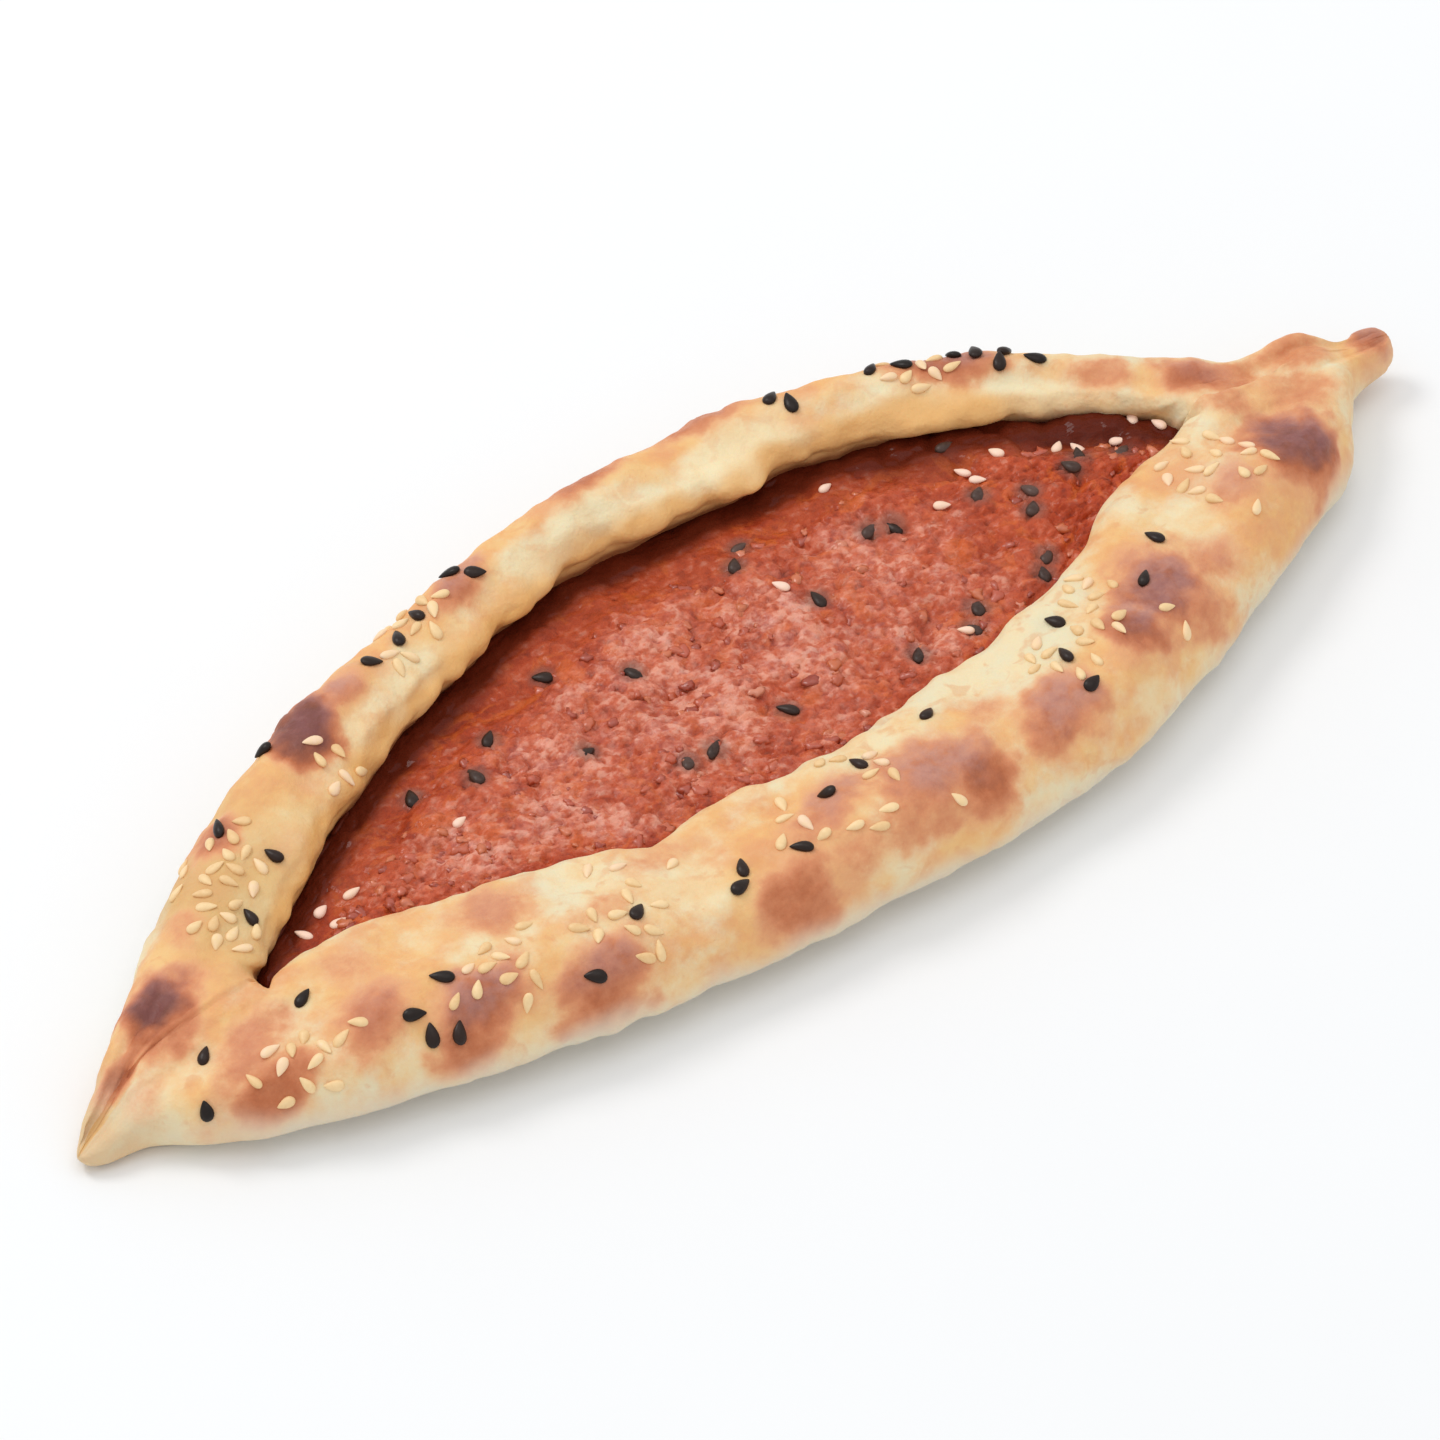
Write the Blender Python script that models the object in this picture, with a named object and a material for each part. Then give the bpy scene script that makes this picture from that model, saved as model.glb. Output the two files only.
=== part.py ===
"""A boat-shaped flatbread with a red pepper and cheese filling, pinched to a point at both ends.

Two pieces: the bread, with a thick rim folded in over an open basin, and the filling that lies in
the basin. Sesame and black seeds are joined to the piece that they lie on.

Frame: +X runs from the left tip to the right tip, +Y to the narrow rim and +Z up. The origin is at
the middle of the underside's bounding box. Shapes are worked out in millimetres, measured from the
line between the two tips, and are centred and scaled to metres when a mesh is made.
"""

import math
import random

import bmesh
import bpy
import numpy as np
from mathutils import Matrix, Vector, noise
from mathutils.bvhtree import BVHTree

MM = 0.001
RANDOM_SEED = 7

# Driving sizes, in millimetres
LENGTH = 238.0
MIDDLE_Y = 7.07
BASIN_FLOOR = 3.4
LIP_HEIGHT = 12.6
LIP_SHOULDER = 1.3
LIP_FACE = 1.7
LIP_BELOW_CREST = 0.16
SHOULDER_SHARE = 0.12
LIP_UNDERCUT = 1.6
UNDERCUT_HEIGHT = 6.2
FLOOR_CURVE = 2.2
TIP_ROUNDING = 4.0
TIP_END = 0.12
TIP_CROWDING = 0.2
CLEARANCE = 0.55
FILLING_LEVEL = 7.5
FILLING_DOME = 1.9
FULL_DOME_DEPTH = 3.5
THINNEST_FILLING = 2.0

# Each table holds (place along the pie from 0 at the left tip to 1 at the right tip, value).
# The near rim is the broad one, on the -Y side.
NEAR_EDGE = (
    (0.0, 0.4), (0.02, -0.3), (0.038, -1.9), (0.06, -7.1), (0.12, -15.4), (0.2, -22.6),
    (0.32, -30.1), (0.44, -34.3), (0.52, -36.4), (0.58, -36.9), (0.645, -36.0), (0.75, -29.5),
    (0.84, -21.2), (0.92, -12.2), (0.958, -3.2), (1.0, -1.8),
)  # fmt: skip
FAR_EDGE = (
    (0.0, 4.2), (0.023, 7.8), (0.05, 12.2), (0.12, 23.8), (0.2, 34.5), (0.3, 42.9), (0.42, 48.3),
    (0.53, 50.8), (0.62, 50.2), (0.72, 42.2), (0.8, 32.0), (0.87, 18.6), (0.9, 12.0),
    (0.948, 8.5), (0.972, 5.0), (1.0, 4.0),
)  # fmt: skip
NEAR_LIP = (
    (0.0, 2.9), (0.015, 4.0), (0.036, 5.3), (0.062, 6.4), (0.1, 5.6), (0.137, 4.9), (0.18, 5.4),
    (0.23, 3.2), (0.28, -0.6), (0.33, -3.5), (0.385, -9.6), (0.43, -9.2), (0.47, -11.7),
    (0.51, -13.1), (0.56, -11.8), (0.62, -11.2), (0.67, -9.6), (0.71, -8.0), (0.755, -1.8),
    (0.785, 1.0), (0.82, 1.9), (0.852, 3.2), (0.92, 2.8), (1.0, 0.9),
)  # fmt: skip
FAR_LIP = (
    (0.0, 3.1), (0.015, 4.3), (0.036, 5.7), (0.062, 6.9), (0.1, 6.2), (0.137, 5.6), (0.162, 9.4),
    (0.19, 13.4), (0.26, 22.4), (0.33, 29.6), (0.38, 33.0), (0.43, 36.6), (0.5, 38.8),
    (0.56, 36.6), (0.6, 35.6), (0.66, 34.4), (0.7, 30.8), (0.74, 27.0), (0.786, 19.8),
    (0.811, 16.0), (0.836, 9.4), (0.856, 3.8), (0.92, 3.2), (1.0, 1.1),
)  # fmt: skip
NEAR_CREST = (
    (0.0, 3.2), (0.02, 4.4), (0.05, 8.4), (0.1, 12.0), (0.18, 14.6), (0.3, 15.6), (0.43, 14.6),
    (0.51, 16.4), (0.585, 15.2), (0.67, 16.6), (0.76, 15.2), (0.83, 16.0), (0.89, 13.4),
    (0.94, 11.6), (0.972, 8.6), (1.0, 8.2),
)  # fmt: skip
FAR_CREST = (
    (0.0, 3.4), (0.02, 4.8), (0.05, 9.0), (0.1, 12.4), (0.18, 14.8), (0.27, 16.0), (0.38, 15.2),
    (0.47, 16.0), (0.57, 15.0), (0.7, 15.0), (0.8, 14.4), (0.87, 12.8), (0.912, 10.6),
    (0.948, 10.9), (0.976, 8.4), (1.0, 8.6),
)  # fmt: skip
UNDERSIDE = ((0.0, 0.4), (0.05, 0.1), (0.09, 0.0), (0.9, 0.0), (0.95, 1.0), (1.0, 3.4))

# The opening between the lips, as places along the pie
OPENING_START = 0.13
OPENING_END = 0.858
OPENING_RAMP = 0.028

# A rim's section in shares of its width and height, from the foot up to the inner slope
OUTER_RIM = ((0.28, 0.0), (0.0, 0.38), (0.07, 0.72), (0.22, 0.94), (0.43, 1.0), (0.7, 0.92))
# A closed rim beside the seam: share of its width from the seam, share of its height
CLOSED_RIM = ((0.22, 0.94), (0.17, 0.945), (0.13, 0.95), (0.09, 0.95), (0.05, 0.95), (0.02, 0.95))
LIP_POINT = len(OUTER_RIM) + 1

# Mesh density
STATIONS = 47
PER_STEP = 2
ACROSS_BOTTOM = 3
FILLING_BED = 7
FILLING_TOP = 11

# Swells in the crust and lumps in the filling: (size across, height) in millimetres
CRUST_SWELL = (15.0, 0.9)
SWELL_START = 5.0
SWELL_RAMP = 4.0
FILLING_LUMPS = ((11.0, 1.0), (5.5, 0.7))

# Seeds: length, width and thickness, and how far apart scattered ones lie, in millimetres
BLACK_SIZE = (3.3, 2.0, 1.3)
SESAME_SIZE = (2.8, 1.6, 1.1)
SEED_TAPER = 0.8
SEED_SINK = 0.12
SEED_SPACING = 2.3
LOWEST_SEED = 7.6
STEEPEST_SEED = 0.35
MOST_TRIES = 40
ABOVE_ALL = 50.0

# Black seeds and sesame that lie singly: (x, y, heading in degrees)
BLACK_ON_BREAD = (
    (-104, -6, 50), (-99, 0.5, 35), (-84, -2, 20), (-80, 14, 85), (-71, 20, 110),
    (-73.5, 28.5, 60), (-60, 35.5, 137), (-75.5, -15, -25), (-75, -18, 60), (-71.8, -19.8, 65),
    (-69, -13, 137), (-52.2, -24.8, 137), (-41.5, -21, 30), (-25, -23.5, 60), (-27.5, -26, 10),
    (-16.5, -26, 137), (-7.5, -21, 137), (-0.5, -19.5, 100), (13, -18.5, 30), (38.5, -16.5, 115),
    (34.5, -23, 80), (33.5, -29.5, 15), (53, -19, 35), (60, -13.5, 100), (-38, 39, -20),
    (-32, 40.5, 60), (-27, 42.5, 100), (-18.5, 45.5, 137), (-16, 43, -40), (38.5, 43, 30),
    (40, 40.5, 70), (53, 38, 30), (57, 36, 120), (64, 33, 80), (66.5, 31, 60), (70.5, 29, 20),
    (68, 27.5, 50), (73, 25.5, 137),
)  # fmt: skip
BLACK_ON_FILLING = (
    (-46.5, 20.5, 60), (-38, 17, 85), (-31.5, 22, 40), (-23, 11, 10), (-17.5, 27, 137),
    (-8.5, 18.5, 100), (-14, 0.5, 60), (-9.5, 0, 30), (3.5, -0.5, 120), (16, 25, 50),
    (19.5, 28, 10), (20.5, 12.5, 80), (24, -4.5, 50), (38, 16.5, 100), (35, 18, 20),
    (36.5, -3, 60), (33.5, -5.5, 100), (50.5, 12.5, 40), (50.5, -2, 30), (48, -4, 70),
    (56.5, 8.5, 100), (54.5, 5.5, 40), (54.5, 24, 0), (67, 9.5, 60), (64, 8, 110), (73, 7, 20),
)  # fmt: skip
SESAME_ON_FILLING = (
    (-74, 10.2, 110), (-69, 8.8, 0), (-69.5, 12, 20), (-64.5, 11.5, 5), (-45, 12, 10),
    (18, 17.5, 120), (36.5, 29, 10), (45.5, 14.5, -35), (52.5, 18, 110), (52.5, 14.8, -43),
    (58, 17, 110), (32, -5.5, 130), (66.5, 13.5, 30), (69, 12, 90), (74.5, 9.5, -35),
    (79, 11.5, 60), (80.5, 7.5, 100),
)  # fmt: skip
# Sesame scattered over the crust: (x, y, reach, how many)
SESAME_PATCHES = (
    (-75, 25, 6.5, 18), (-83, 14, 4, 6), (-54, 28, 4, 4), (-84, -11, 3, 2), (-93, -11, 4, 5),
    (-57, -16, 4, 4), (-67, -15.5, 4, 4), (-42, -23, 5, 5), (-14, -24, 4, 4), (1, -22, 4, 4),
    (5, -32, 2, 1), (39, -22, 6, 8), (46, -13, 3, 2), (50, -27, 3, 2), (75, -10, 9, 9),
    (60, 35, 5, 7), (-25, 42, 4, 5), (-34, 37.5, 3, 3),
)  # fmt: skip

CRUST_COLOUR = (0.75, 0.45, 0.24)
FILLING_COLOUR = (0.52, 0.12, 0.055)


def spline(table, at):
    """The smooth curve through a table's points, read at one place or an array of them."""
    places, values = np.array(table, float).T
    slopes = np.gradient(values, places)
    at = np.clip(at, places[0], places[-1])
    k = np.clip(np.searchsorted(places, at, side="right") - 1, 0, len(places) - 2)
    step = places[k + 1] - places[k]
    t = (at - places[k]) / step
    return (
        (1 + 2 * t) * (1 - t) ** 2 * values[k]
        + t * (1 - t) ** 2 * step * slopes[k]
        + t**2 * (3 - 2 * t) * values[k + 1]
        + t**2 * (t - 1) * step * slopes[k + 1]
    )


def smoothstep(t):
    t = np.clip(t, 0.0, 1.0)
    return t * t * (3 - 2 * t)


def openness(u):
    """0 where the rims are closed over each other, 1 where the basin has its full depth."""
    rise = smoothstep((u - OPENING_START) / OPENING_RAMP)
    fall = smoothstep((OPENING_END - u) / OPENING_RAMP)
    return float(rise * fall)


def rim(edge, lip, crest, base, seam, opened):
    """One rim's points in a section, from the foot up over the crest and down to the basin floor."""
    inward = 1.0 if lip > edge else -1.0
    width = abs(lip - edge)
    top = crest - base
    outer = [(edge + inward * width * share, base + top * rise) for share, rise in OUTER_RIM]
    lip_top = min(LIP_HEIGHT, crest - LIP_BELOW_CREST * top)
    open_rim = [
        (lip - inward * min(LIP_SHOULDER, SHOULDER_SHARE * width), lip_top),
        (lip, lip_top - LIP_FACE),
        (lip - inward * 0.5 * LIP_UNDERCUT, lip_top - 2.1 * LIP_FACE),
        (lip - inward * LIP_UNDERCUT, UNDERCUT_HEIGHT),
        (lip - inward * 0.6 * LIP_UNDERCUT, BASIN_FLOOR + 0.2 * FLOOR_CURVE),
        (lip + inward * min(FLOOR_CURVE, 0.25 * abs(seam - lip)), BASIN_FLOOR),
    ]
    closed_rim = [
        (seam - inward * width * share, base + top * rise) for share, rise in CLOSED_RIM
    ]
    inner = [
        (a[0] * opened + b[0] * (1 - opened), a[1] * opened + b[1] * (1 - opened))
        for a, b in zip(open_rim, closed_rim)
    ]
    return outer + inner


def crust_swell(x, section):
    """How far the crust swells at a section's points, fading out towards the floor."""
    size, height = CRUST_SWELL
    lift = [noise.noise(Vector((x / size, y / size, 0.0))) for y, _ in section]
    return height * np.array(lift) * smoothstep((section[:, 1] - SWELL_START) / SWELL_RAMP)


def bread_section(u, per_step):
    """The bread's upper outline across the pie, from the near foot to the far one, as (y, z)."""
    base = max(0.0, float(spline(UNDERSIDE, u)))
    near_lip, far_lip = float(spline(NEAR_LIP, u)), float(spline(FAR_LIP, u))
    opened = openness(u)
    seam = 0.5 * (near_lip + far_lip)
    near = rim(
        float(spline(NEAR_EDGE, u)), near_lip, float(spline(NEAR_CREST, u)), base, seam, opened
    )
    far = rim(
        float(spline(FAR_EDGE, u)), far_lip, float(spline(FAR_CREST, u)), base, seam, opened
    )
    seam_height = 0.5 * (near[-1][1] + far[-1][1])
    middle = (seam, BASIN_FLOOR * opened + seam_height * (1 - opened))
    points = np.array(near + [middle] + far[::-1])
    steps = np.linalg.norm(np.diff(points, axis=0), axis=1)
    along = np.concatenate([[0.0], np.cumsum(steps)])
    count = (len(points) - 1) * per_step + 1
    at = np.interp(np.linspace(0, len(points) - 1, count), np.arange(len(points)), along)
    section = np.stack([spline(np.stack([along, points[:, k]], 1), at) for k in range(2)], 1)
    section[:, 1] += crust_swell((u - 0.5) * LENGTH, section)
    return section


def stations(count):
    """Places along the pie, closer together towards the tips, where the section shrinks fastest."""
    even = np.linspace(-1.0, 1.0, count)
    crowded = np.sin(0.5 * math.pi * even)
    return 0.5 + 0.5 * (even + TIP_CROWDING * (crowded - even))


def bread_rings(count, per_step, across_bottom):
    """The bread's surface as rings of points, from the left tip to the right one."""
    rings = []
    for u in stations(count):
        x = (u - 0.5) * LENGTH
        top = bread_section(u, per_step)
        share = np.linspace(0, 1, across_bottom + 2)[1:-1, None]
        section = np.concatenate([top, top[-1] * (1 - share) + top[0] * share])
        reach = min(1.0, (0.5 * LENGTH - abs(x) + TIP_END) / TIP_ROUNDING)
        shrink = math.sqrt(1 - (1 - reach) ** 2)
        middle = section.mean(axis=0)
        section = middle + (section - middle) * shrink
        rings.append(np.column_stack([np.full(len(section), x), section]))
    return rings


def filling_bed(section, per_step, count):
    """The basin's wall and floor below the filling's level, moved in by the clearance.

    None where the basin is too shallow to hold any filling.
    """
    basin = section[LIP_POINT * per_step : len(section) - LIP_POINT * per_step]
    run = np.gradient(basin, axis=0)
    run /= np.linalg.norm(run, axis=1)[:, None]
    basin = basin + CLEARANCE * np.column_stack([-run[:, 1], run[:, 0]])
    if basin[:, 1].min() > FILLING_LEVEL - THINNEST_FILLING:
        return None
    lowest = int(basin[:, 1].argmin())
    below = basin[:, 1] < FILLING_LEVEL
    first = lowest - int((~below[:lowest][::-1]).argmax())
    last = lowest + int((~below[lowest:]).argmax())
    ends = []
    for inside, outside in ((first, first - 1), (last - 1, last)):
        share = (FILLING_LEVEL - basin[inside, 1]) / (basin[outside, 1] - basin[inside, 1])
        ends.append(basin[inside] + share * (basin[outside] - basin[inside]))
    bed = np.concatenate([ends[:1], basin[first:last], ends[1:]])
    along = np.concatenate([[0.0], np.cumsum(np.linalg.norm(np.diff(bed, axis=0), axis=1))])
    at = np.linspace(0, along[-1], count)
    return np.column_stack([np.interp(at, along, bed[:, k]) for k in range(2)])


def filling_rings(count, per_step, bed_count, top_count):
    """The filling's surface as rings of points, each the bed and then the lumpy top."""
    rings = []
    for u in stations(count):
        if not OPENING_START < u < OPENING_END:
            continue
        bed = filling_bed(bread_section(u, per_step), per_step, bed_count)
        if bed is None:
            continue
        x = (u - 0.5) * LENGTH
        share = np.linspace(1, 0, top_count + 2)[1:-1]
        across = bed[0, 0] + (bed[-1, 0] - bed[0, 0]) * share
        depth = FILLING_LEVEL - bed[:, 1].min()
        rise = np.sin(math.pi * share) ** 0.5 * min(1.0, depth / FULL_DOME_DEPTH)
        lumps = [
            sum(
                height * noise.noise(Vector((x / size, y / size, size)))
                for size, height in FILLING_LUMPS
            )
            for y in across
        ]
        top = np.column_stack([across, FILLING_LEVEL + rise * (FILLING_DOME + np.array(lumps))])
        section = np.concatenate([bed, top])
        rings.append(np.column_stack([np.full(len(section), x), section]))
    return rings


def placed(point):
    """A point in metres, with the origin at the middle of the underside."""
    x, y, z = (float(value) for value in point)
    return Vector((x * MM, (y - MIDDLE_Y) * MM, z * MM))


def loft(name, rings, collection):
    """A closed object through rings of points, with a flat cap at each end."""
    bm = bmesh.new()
    loops = [[bm.verts.new(placed(point)) for point in ring] for ring in rings]
    size = len(loops[0])
    for a, b in zip(loops, loops[1:]):
        for k in range(size):
            bm.faces.new((a[k], a[(k + 1) % size], b[(k + 1) % size], b[k]))
    bm.faces.new(loops[0])
    bm.faces.new(loops[-1])
    bmesh.ops.triangulate(bm, faces=bm.faces)
    bmesh.ops.recalc_face_normals(bm, faces=bm.faces)
    mesh = bpy.data.meshes.new(name)
    bm.to_mesh(mesh)
    bm.free()
    obj = bpy.data.objects.new(name, mesh)
    collection.objects.link(obj)
    return obj


def seed_mesh(size):
    """A teardrop seed, longest along X and narrowing to +X."""
    length, width, thickness = size
    bm = bmesh.new()
    bmesh.ops.create_uvsphere(bm, u_segments=5, v_segments=4, radius=0.5 * MM)
    for vert in bm.verts:
        across, up, along = vert.co
        taper = 1 - SEED_TAPER * along / MM
        vert.co = Vector((along * length, across * width * taper, up * thickness * taper))
    mesh = bpy.data.meshes.new("seed")
    bm.to_mesh(mesh)
    bm.free()
    return mesh


def surface_of(obj):
    return BVHTree.FromObject(obj, bpy.context.evaluated_depsgraph_get())


def seed_pose(surface, size, x, y, heading):
    """Where a seed lies flat on a surface seen from above, or None where it would slide off."""
    above = placed((x, y, ABOVE_ALL))
    point, normal, _, _ = surface.ray_cast(above, Vector((0.0, 0.0, -1.0)))
    if point is None or normal.z < STEEPEST_SEED or point.z < LOWEST_SEED * MM:
        return None
    turn = math.radians(heading)
    forward = Vector((math.cos(turn), math.sin(turn), 0.0))
    forward = (forward - normal * forward.dot(normal)).normalized()
    axes = Matrix((forward, normal.cross(forward), normal)).transposed().to_4x4()
    lift = (0.5 - SEED_SINK) * 0.5 * size[2] * MM
    return Matrix.Translation(point + normal * lift) @ axes


def scattered(surface, patches, taken):
    """Places for the sesame of every patch, apart from each other and from the taken places."""
    rng = random.Random(RANDOM_SEED)
    poses = []
    taken = list(taken)
    for x, y, reach, many in patches:
        wanted = len(poses) + many
        for _ in range(MOST_TRIES):
            turn, out = rng.uniform(0, math.tau), reach * math.sqrt(rng.random())
            place = (x + out * math.cos(turn), y + out * math.sin(turn))
            pose = seed_pose(surface, SESAME_SIZE, *place, rng.uniform(0, 360))
            if pose is None or min(math.dist(place, other) for other in taken) < SEED_SPACING:
                continue
            taken.append(place)
            poses.append(pose)
            if len(poses) == wanted:
                break
    return poses


def join_seeds(obj, kinds):
    """Joins seeds to the object, with one union: each kind is a mesh and the poses of its seeds."""
    seeds = bpy.data.collections.new(f"seeds on {obj.name}")
    bpy.context.scene.collection.children.link(seeds)
    for mesh, poses in kinds:
        for pose in filter(None, poses):
            seed = bpy.data.objects.new("seed", mesh)
            seed.matrix_world = pose
            seeds.objects.link(seed)
    union = obj.modifiers.new("seeds", "BOOLEAN")
    union.operation = "UNION"
    union.operand_type = "COLLECTION"
    union.collection = seeds
    union.solver = "MANIFOLD"
    joined = bpy.data.meshes.new_from_object(
        obj.evaluated_get(bpy.context.evaluated_depsgraph_get())
    )
    obj.modifiers.remove(union)
    obj.data = joined
    for seed in list(seeds.objects):
        bpy.data.objects.remove(seed)
    bpy.data.collections.remove(seeds)


def paint(obj, colour, roughness):
    """Gives an object its one material."""
    material = bpy.data.materials.new(obj.name)
    material.use_nodes = True
    shader = material.node_tree.nodes["Principled BSDF"]
    shader.inputs["Base Color"].default_value = (*colour, 1.0)
    shader.inputs["Roughness"].default_value = roughness
    shader.inputs["Metallic"].default_value = 0.0
    obj.data.materials.clear()
    obj.data.materials.append(material)
    obj.data.shade_smooth()


def make_bread(collection, black, sesame):
    bread = loft("bread", bread_rings(STATIONS, PER_STEP, ACROSS_BOTTOM), collection)
    surface = surface_of(bread)
    black_poses = [seed_pose(surface, BLACK_SIZE, *place) for place in BLACK_ON_BREAD]
    taken = [place[:2] for place in BLACK_ON_BREAD]
    join_seeds(bread, ((black, black_poses), (sesame, scattered(surface, SESAME_PATCHES, taken))))
    paint(bread, CRUST_COLOUR, 0.7)


def make_filling(collection, black, sesame):
    rings = filling_rings(STATIONS, PER_STEP, FILLING_BED, FILLING_TOP)
    filling = loft("filling", rings, collection)
    surface = surface_of(filling)
    black_poses = [seed_pose(surface, BLACK_SIZE, *place) for place in BLACK_ON_FILLING]
    sesame_poses = [seed_pose(surface, SESAME_SIZE, *place) for place in SESAME_ON_FILLING]
    join_seeds(filling, ((black, black_poses), (sesame, sesame_poses)))
    paint(filling, FILLING_COLOUR, 0.45)


def main():
    for obj in list(bpy.data.objects):
        bpy.data.objects.remove(obj)
    pie = bpy.data.collections.new("muhammara_pie")
    bpy.context.scene.collection.children.link(pie)
    black, sesame = seed_mesh(BLACK_SIZE), seed_mesh(SESAME_SIZE)
    make_bread(pie, black, sesame)
    make_filling(pie, black, sesame)
    bpy.data.meshes.remove(black)
    bpy.data.meshes.remove(sesame)


main()
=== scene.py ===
"""The looks of the boat-shaped pepper and cheese flatbread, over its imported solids.

The bread and the filling are made again from the same tables as the solids, with the fine relief
of blisters, crinkled lips and grainy paste, and the seeds become pieces of their own. Shapes are
worked out in millimetres from the line between the tips, and centred when a mesh is made.
"""

import math
import random

import bmesh
import bpy
import numpy as np
from mathutils import Matrix, Vector, noise
from mathutils.bvhtree import BVHTree


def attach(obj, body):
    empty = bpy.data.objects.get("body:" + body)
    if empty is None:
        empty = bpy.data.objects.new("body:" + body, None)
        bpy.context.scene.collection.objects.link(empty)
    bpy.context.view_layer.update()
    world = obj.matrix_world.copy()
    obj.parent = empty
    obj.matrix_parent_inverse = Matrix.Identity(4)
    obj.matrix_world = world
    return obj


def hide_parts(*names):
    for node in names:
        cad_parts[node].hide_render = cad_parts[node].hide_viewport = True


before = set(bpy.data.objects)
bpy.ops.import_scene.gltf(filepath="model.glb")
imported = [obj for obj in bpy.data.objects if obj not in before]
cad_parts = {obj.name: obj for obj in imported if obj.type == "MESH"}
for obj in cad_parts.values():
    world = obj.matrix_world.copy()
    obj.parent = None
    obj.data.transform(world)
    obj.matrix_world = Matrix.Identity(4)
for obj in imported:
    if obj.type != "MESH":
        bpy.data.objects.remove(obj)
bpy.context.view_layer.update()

MM = 0.001
RANDOM_SEED = 7

# Driving sizes, in millimetres
LENGTH = 238.0
MIDDLE_Y = 7.07
BASIN_FLOOR = 3.4
LIP_HEIGHT = 12.6
LIP_SHOULDER = 1.3
LIP_FACE = 1.7
LIP_BELOW_CREST = 0.16
SHOULDER_SHARE = 0.12
LIP_UNDERCUT = 1.6
UNDERCUT_HEIGHT = 6.2
FLOOR_CURVE = 2.2
TIP_ROUNDING = 4.0
TIP_END = 0.12
TIP_CROWDING = 0.2
FILLING_LEVEL = 7.5
FILLING_DOME = 1.9
FULL_DOME_DEPTH = 3.5
THINNEST_FILLING = 0.5
SUNK_INTO_BREAD = 0.3

# Each table holds (place along the pie from 0 at the left tip to 1 at the right tip, value).
# The near rim is the broad one, on the -Y side.
NEAR_EDGE = (
    (0.0, 0.4), (0.02, -0.3), (0.038, -1.9), (0.06, -7.1), (0.12, -15.4), (0.2, -22.6),
    (0.32, -30.1), (0.44, -34.3), (0.52, -36.4), (0.58, -36.9), (0.645, -36.0), (0.75, -29.5),
    (0.84, -21.2), (0.92, -12.2), (0.958, -3.2), (1.0, -1.8),
)  # fmt: skip
FAR_EDGE = (
    (0.0, 4.2), (0.023, 7.8), (0.05, 12.2), (0.12, 23.8), (0.2, 34.5), (0.3, 42.9), (0.42, 48.3),
    (0.53, 50.8), (0.62, 50.2), (0.72, 42.2), (0.8, 32.0), (0.87, 18.6), (0.9, 12.0),
    (0.948, 8.5), (0.972, 5.0), (1.0, 4.0),
)  # fmt: skip
NEAR_LIP = (
    (0.0, 2.9), (0.015, 4.0), (0.036, 5.3), (0.062, 6.4), (0.1, 5.6), (0.137, 4.9), (0.18, 5.4),
    (0.23, 3.2), (0.28, -0.6), (0.33, -3.5), (0.385, -9.6), (0.43, -9.2), (0.47, -11.7),
    (0.51, -13.1), (0.56, -11.8), (0.62, -11.2), (0.67, -9.6), (0.71, -8.0), (0.755, -1.8),
    (0.785, 1.0), (0.82, 1.9), (0.852, 3.2), (0.92, 2.8), (1.0, 0.9),
)  # fmt: skip
FAR_LIP = (
    (0.0, 3.1), (0.015, 4.3), (0.036, 5.7), (0.062, 6.9), (0.1, 6.2), (0.137, 5.6), (0.162, 9.4),
    (0.19, 13.4), (0.26, 22.4), (0.33, 29.6), (0.38, 33.0), (0.43, 36.6), (0.5, 38.8),
    (0.56, 36.6), (0.6, 35.6), (0.66, 34.4), (0.7, 30.8), (0.74, 27.0), (0.786, 19.8),
    (0.811, 16.0), (0.836, 9.4), (0.856, 3.8), (0.92, 3.2), (1.0, 1.1),
)  # fmt: skip
NEAR_CREST = (
    (0.0, 3.2), (0.02, 4.4), (0.05, 8.4), (0.1, 12.0), (0.18, 14.6), (0.3, 15.6), (0.43, 14.6),
    (0.51, 16.4), (0.585, 15.2), (0.67, 16.6), (0.76, 15.2), (0.83, 16.0), (0.89, 13.4),
    (0.94, 11.6), (0.972, 8.6), (1.0, 8.2),
)  # fmt: skip
FAR_CREST = (
    (0.0, 3.4), (0.02, 4.8), (0.05, 9.0), (0.1, 12.4), (0.18, 14.8), (0.27, 16.0), (0.38, 15.2),
    (0.47, 16.0), (0.57, 15.0), (0.7, 15.0), (0.8, 14.4), (0.87, 12.8), (0.912, 10.6),
    (0.948, 10.9), (0.976, 8.4), (1.0, 8.6),
)  # fmt: skip
UNDERSIDE = ((0.0, 0.4), (0.05, 0.1), (0.09, 0.0), (0.9, 0.0), (0.95, 1.0), (1.0, 3.4))

# The opening between the lips, as places along the pie
OPENING_START = 0.13
OPENING_END = 0.858
OPENING_RAMP = 0.028

# A rim's section in shares of its width and height, from the foot up to the inner slope
OUTER_RIM = ((0.28, 0.0), (0.0, 0.38), (0.07, 0.72), (0.22, 0.94), (0.43, 1.0), (0.7, 0.92))
# A closed rim beside the seam: share of its width from the seam, share of its height
CLOSED_RIM = ((0.22, 0.94), (0.17, 0.945), (0.13, 0.95), (0.09, 0.95), (0.05, 0.95), (0.02, 0.95))
LIP_POINT = len(OUTER_RIM) + 1

BREAD_STATIONS, PER_STEP, FILLING_TOP = 420, 8, 170
ACROSS_BOTTOM = 12
FILLING_STATIONS = 560
FILLING_BED = 12

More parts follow.
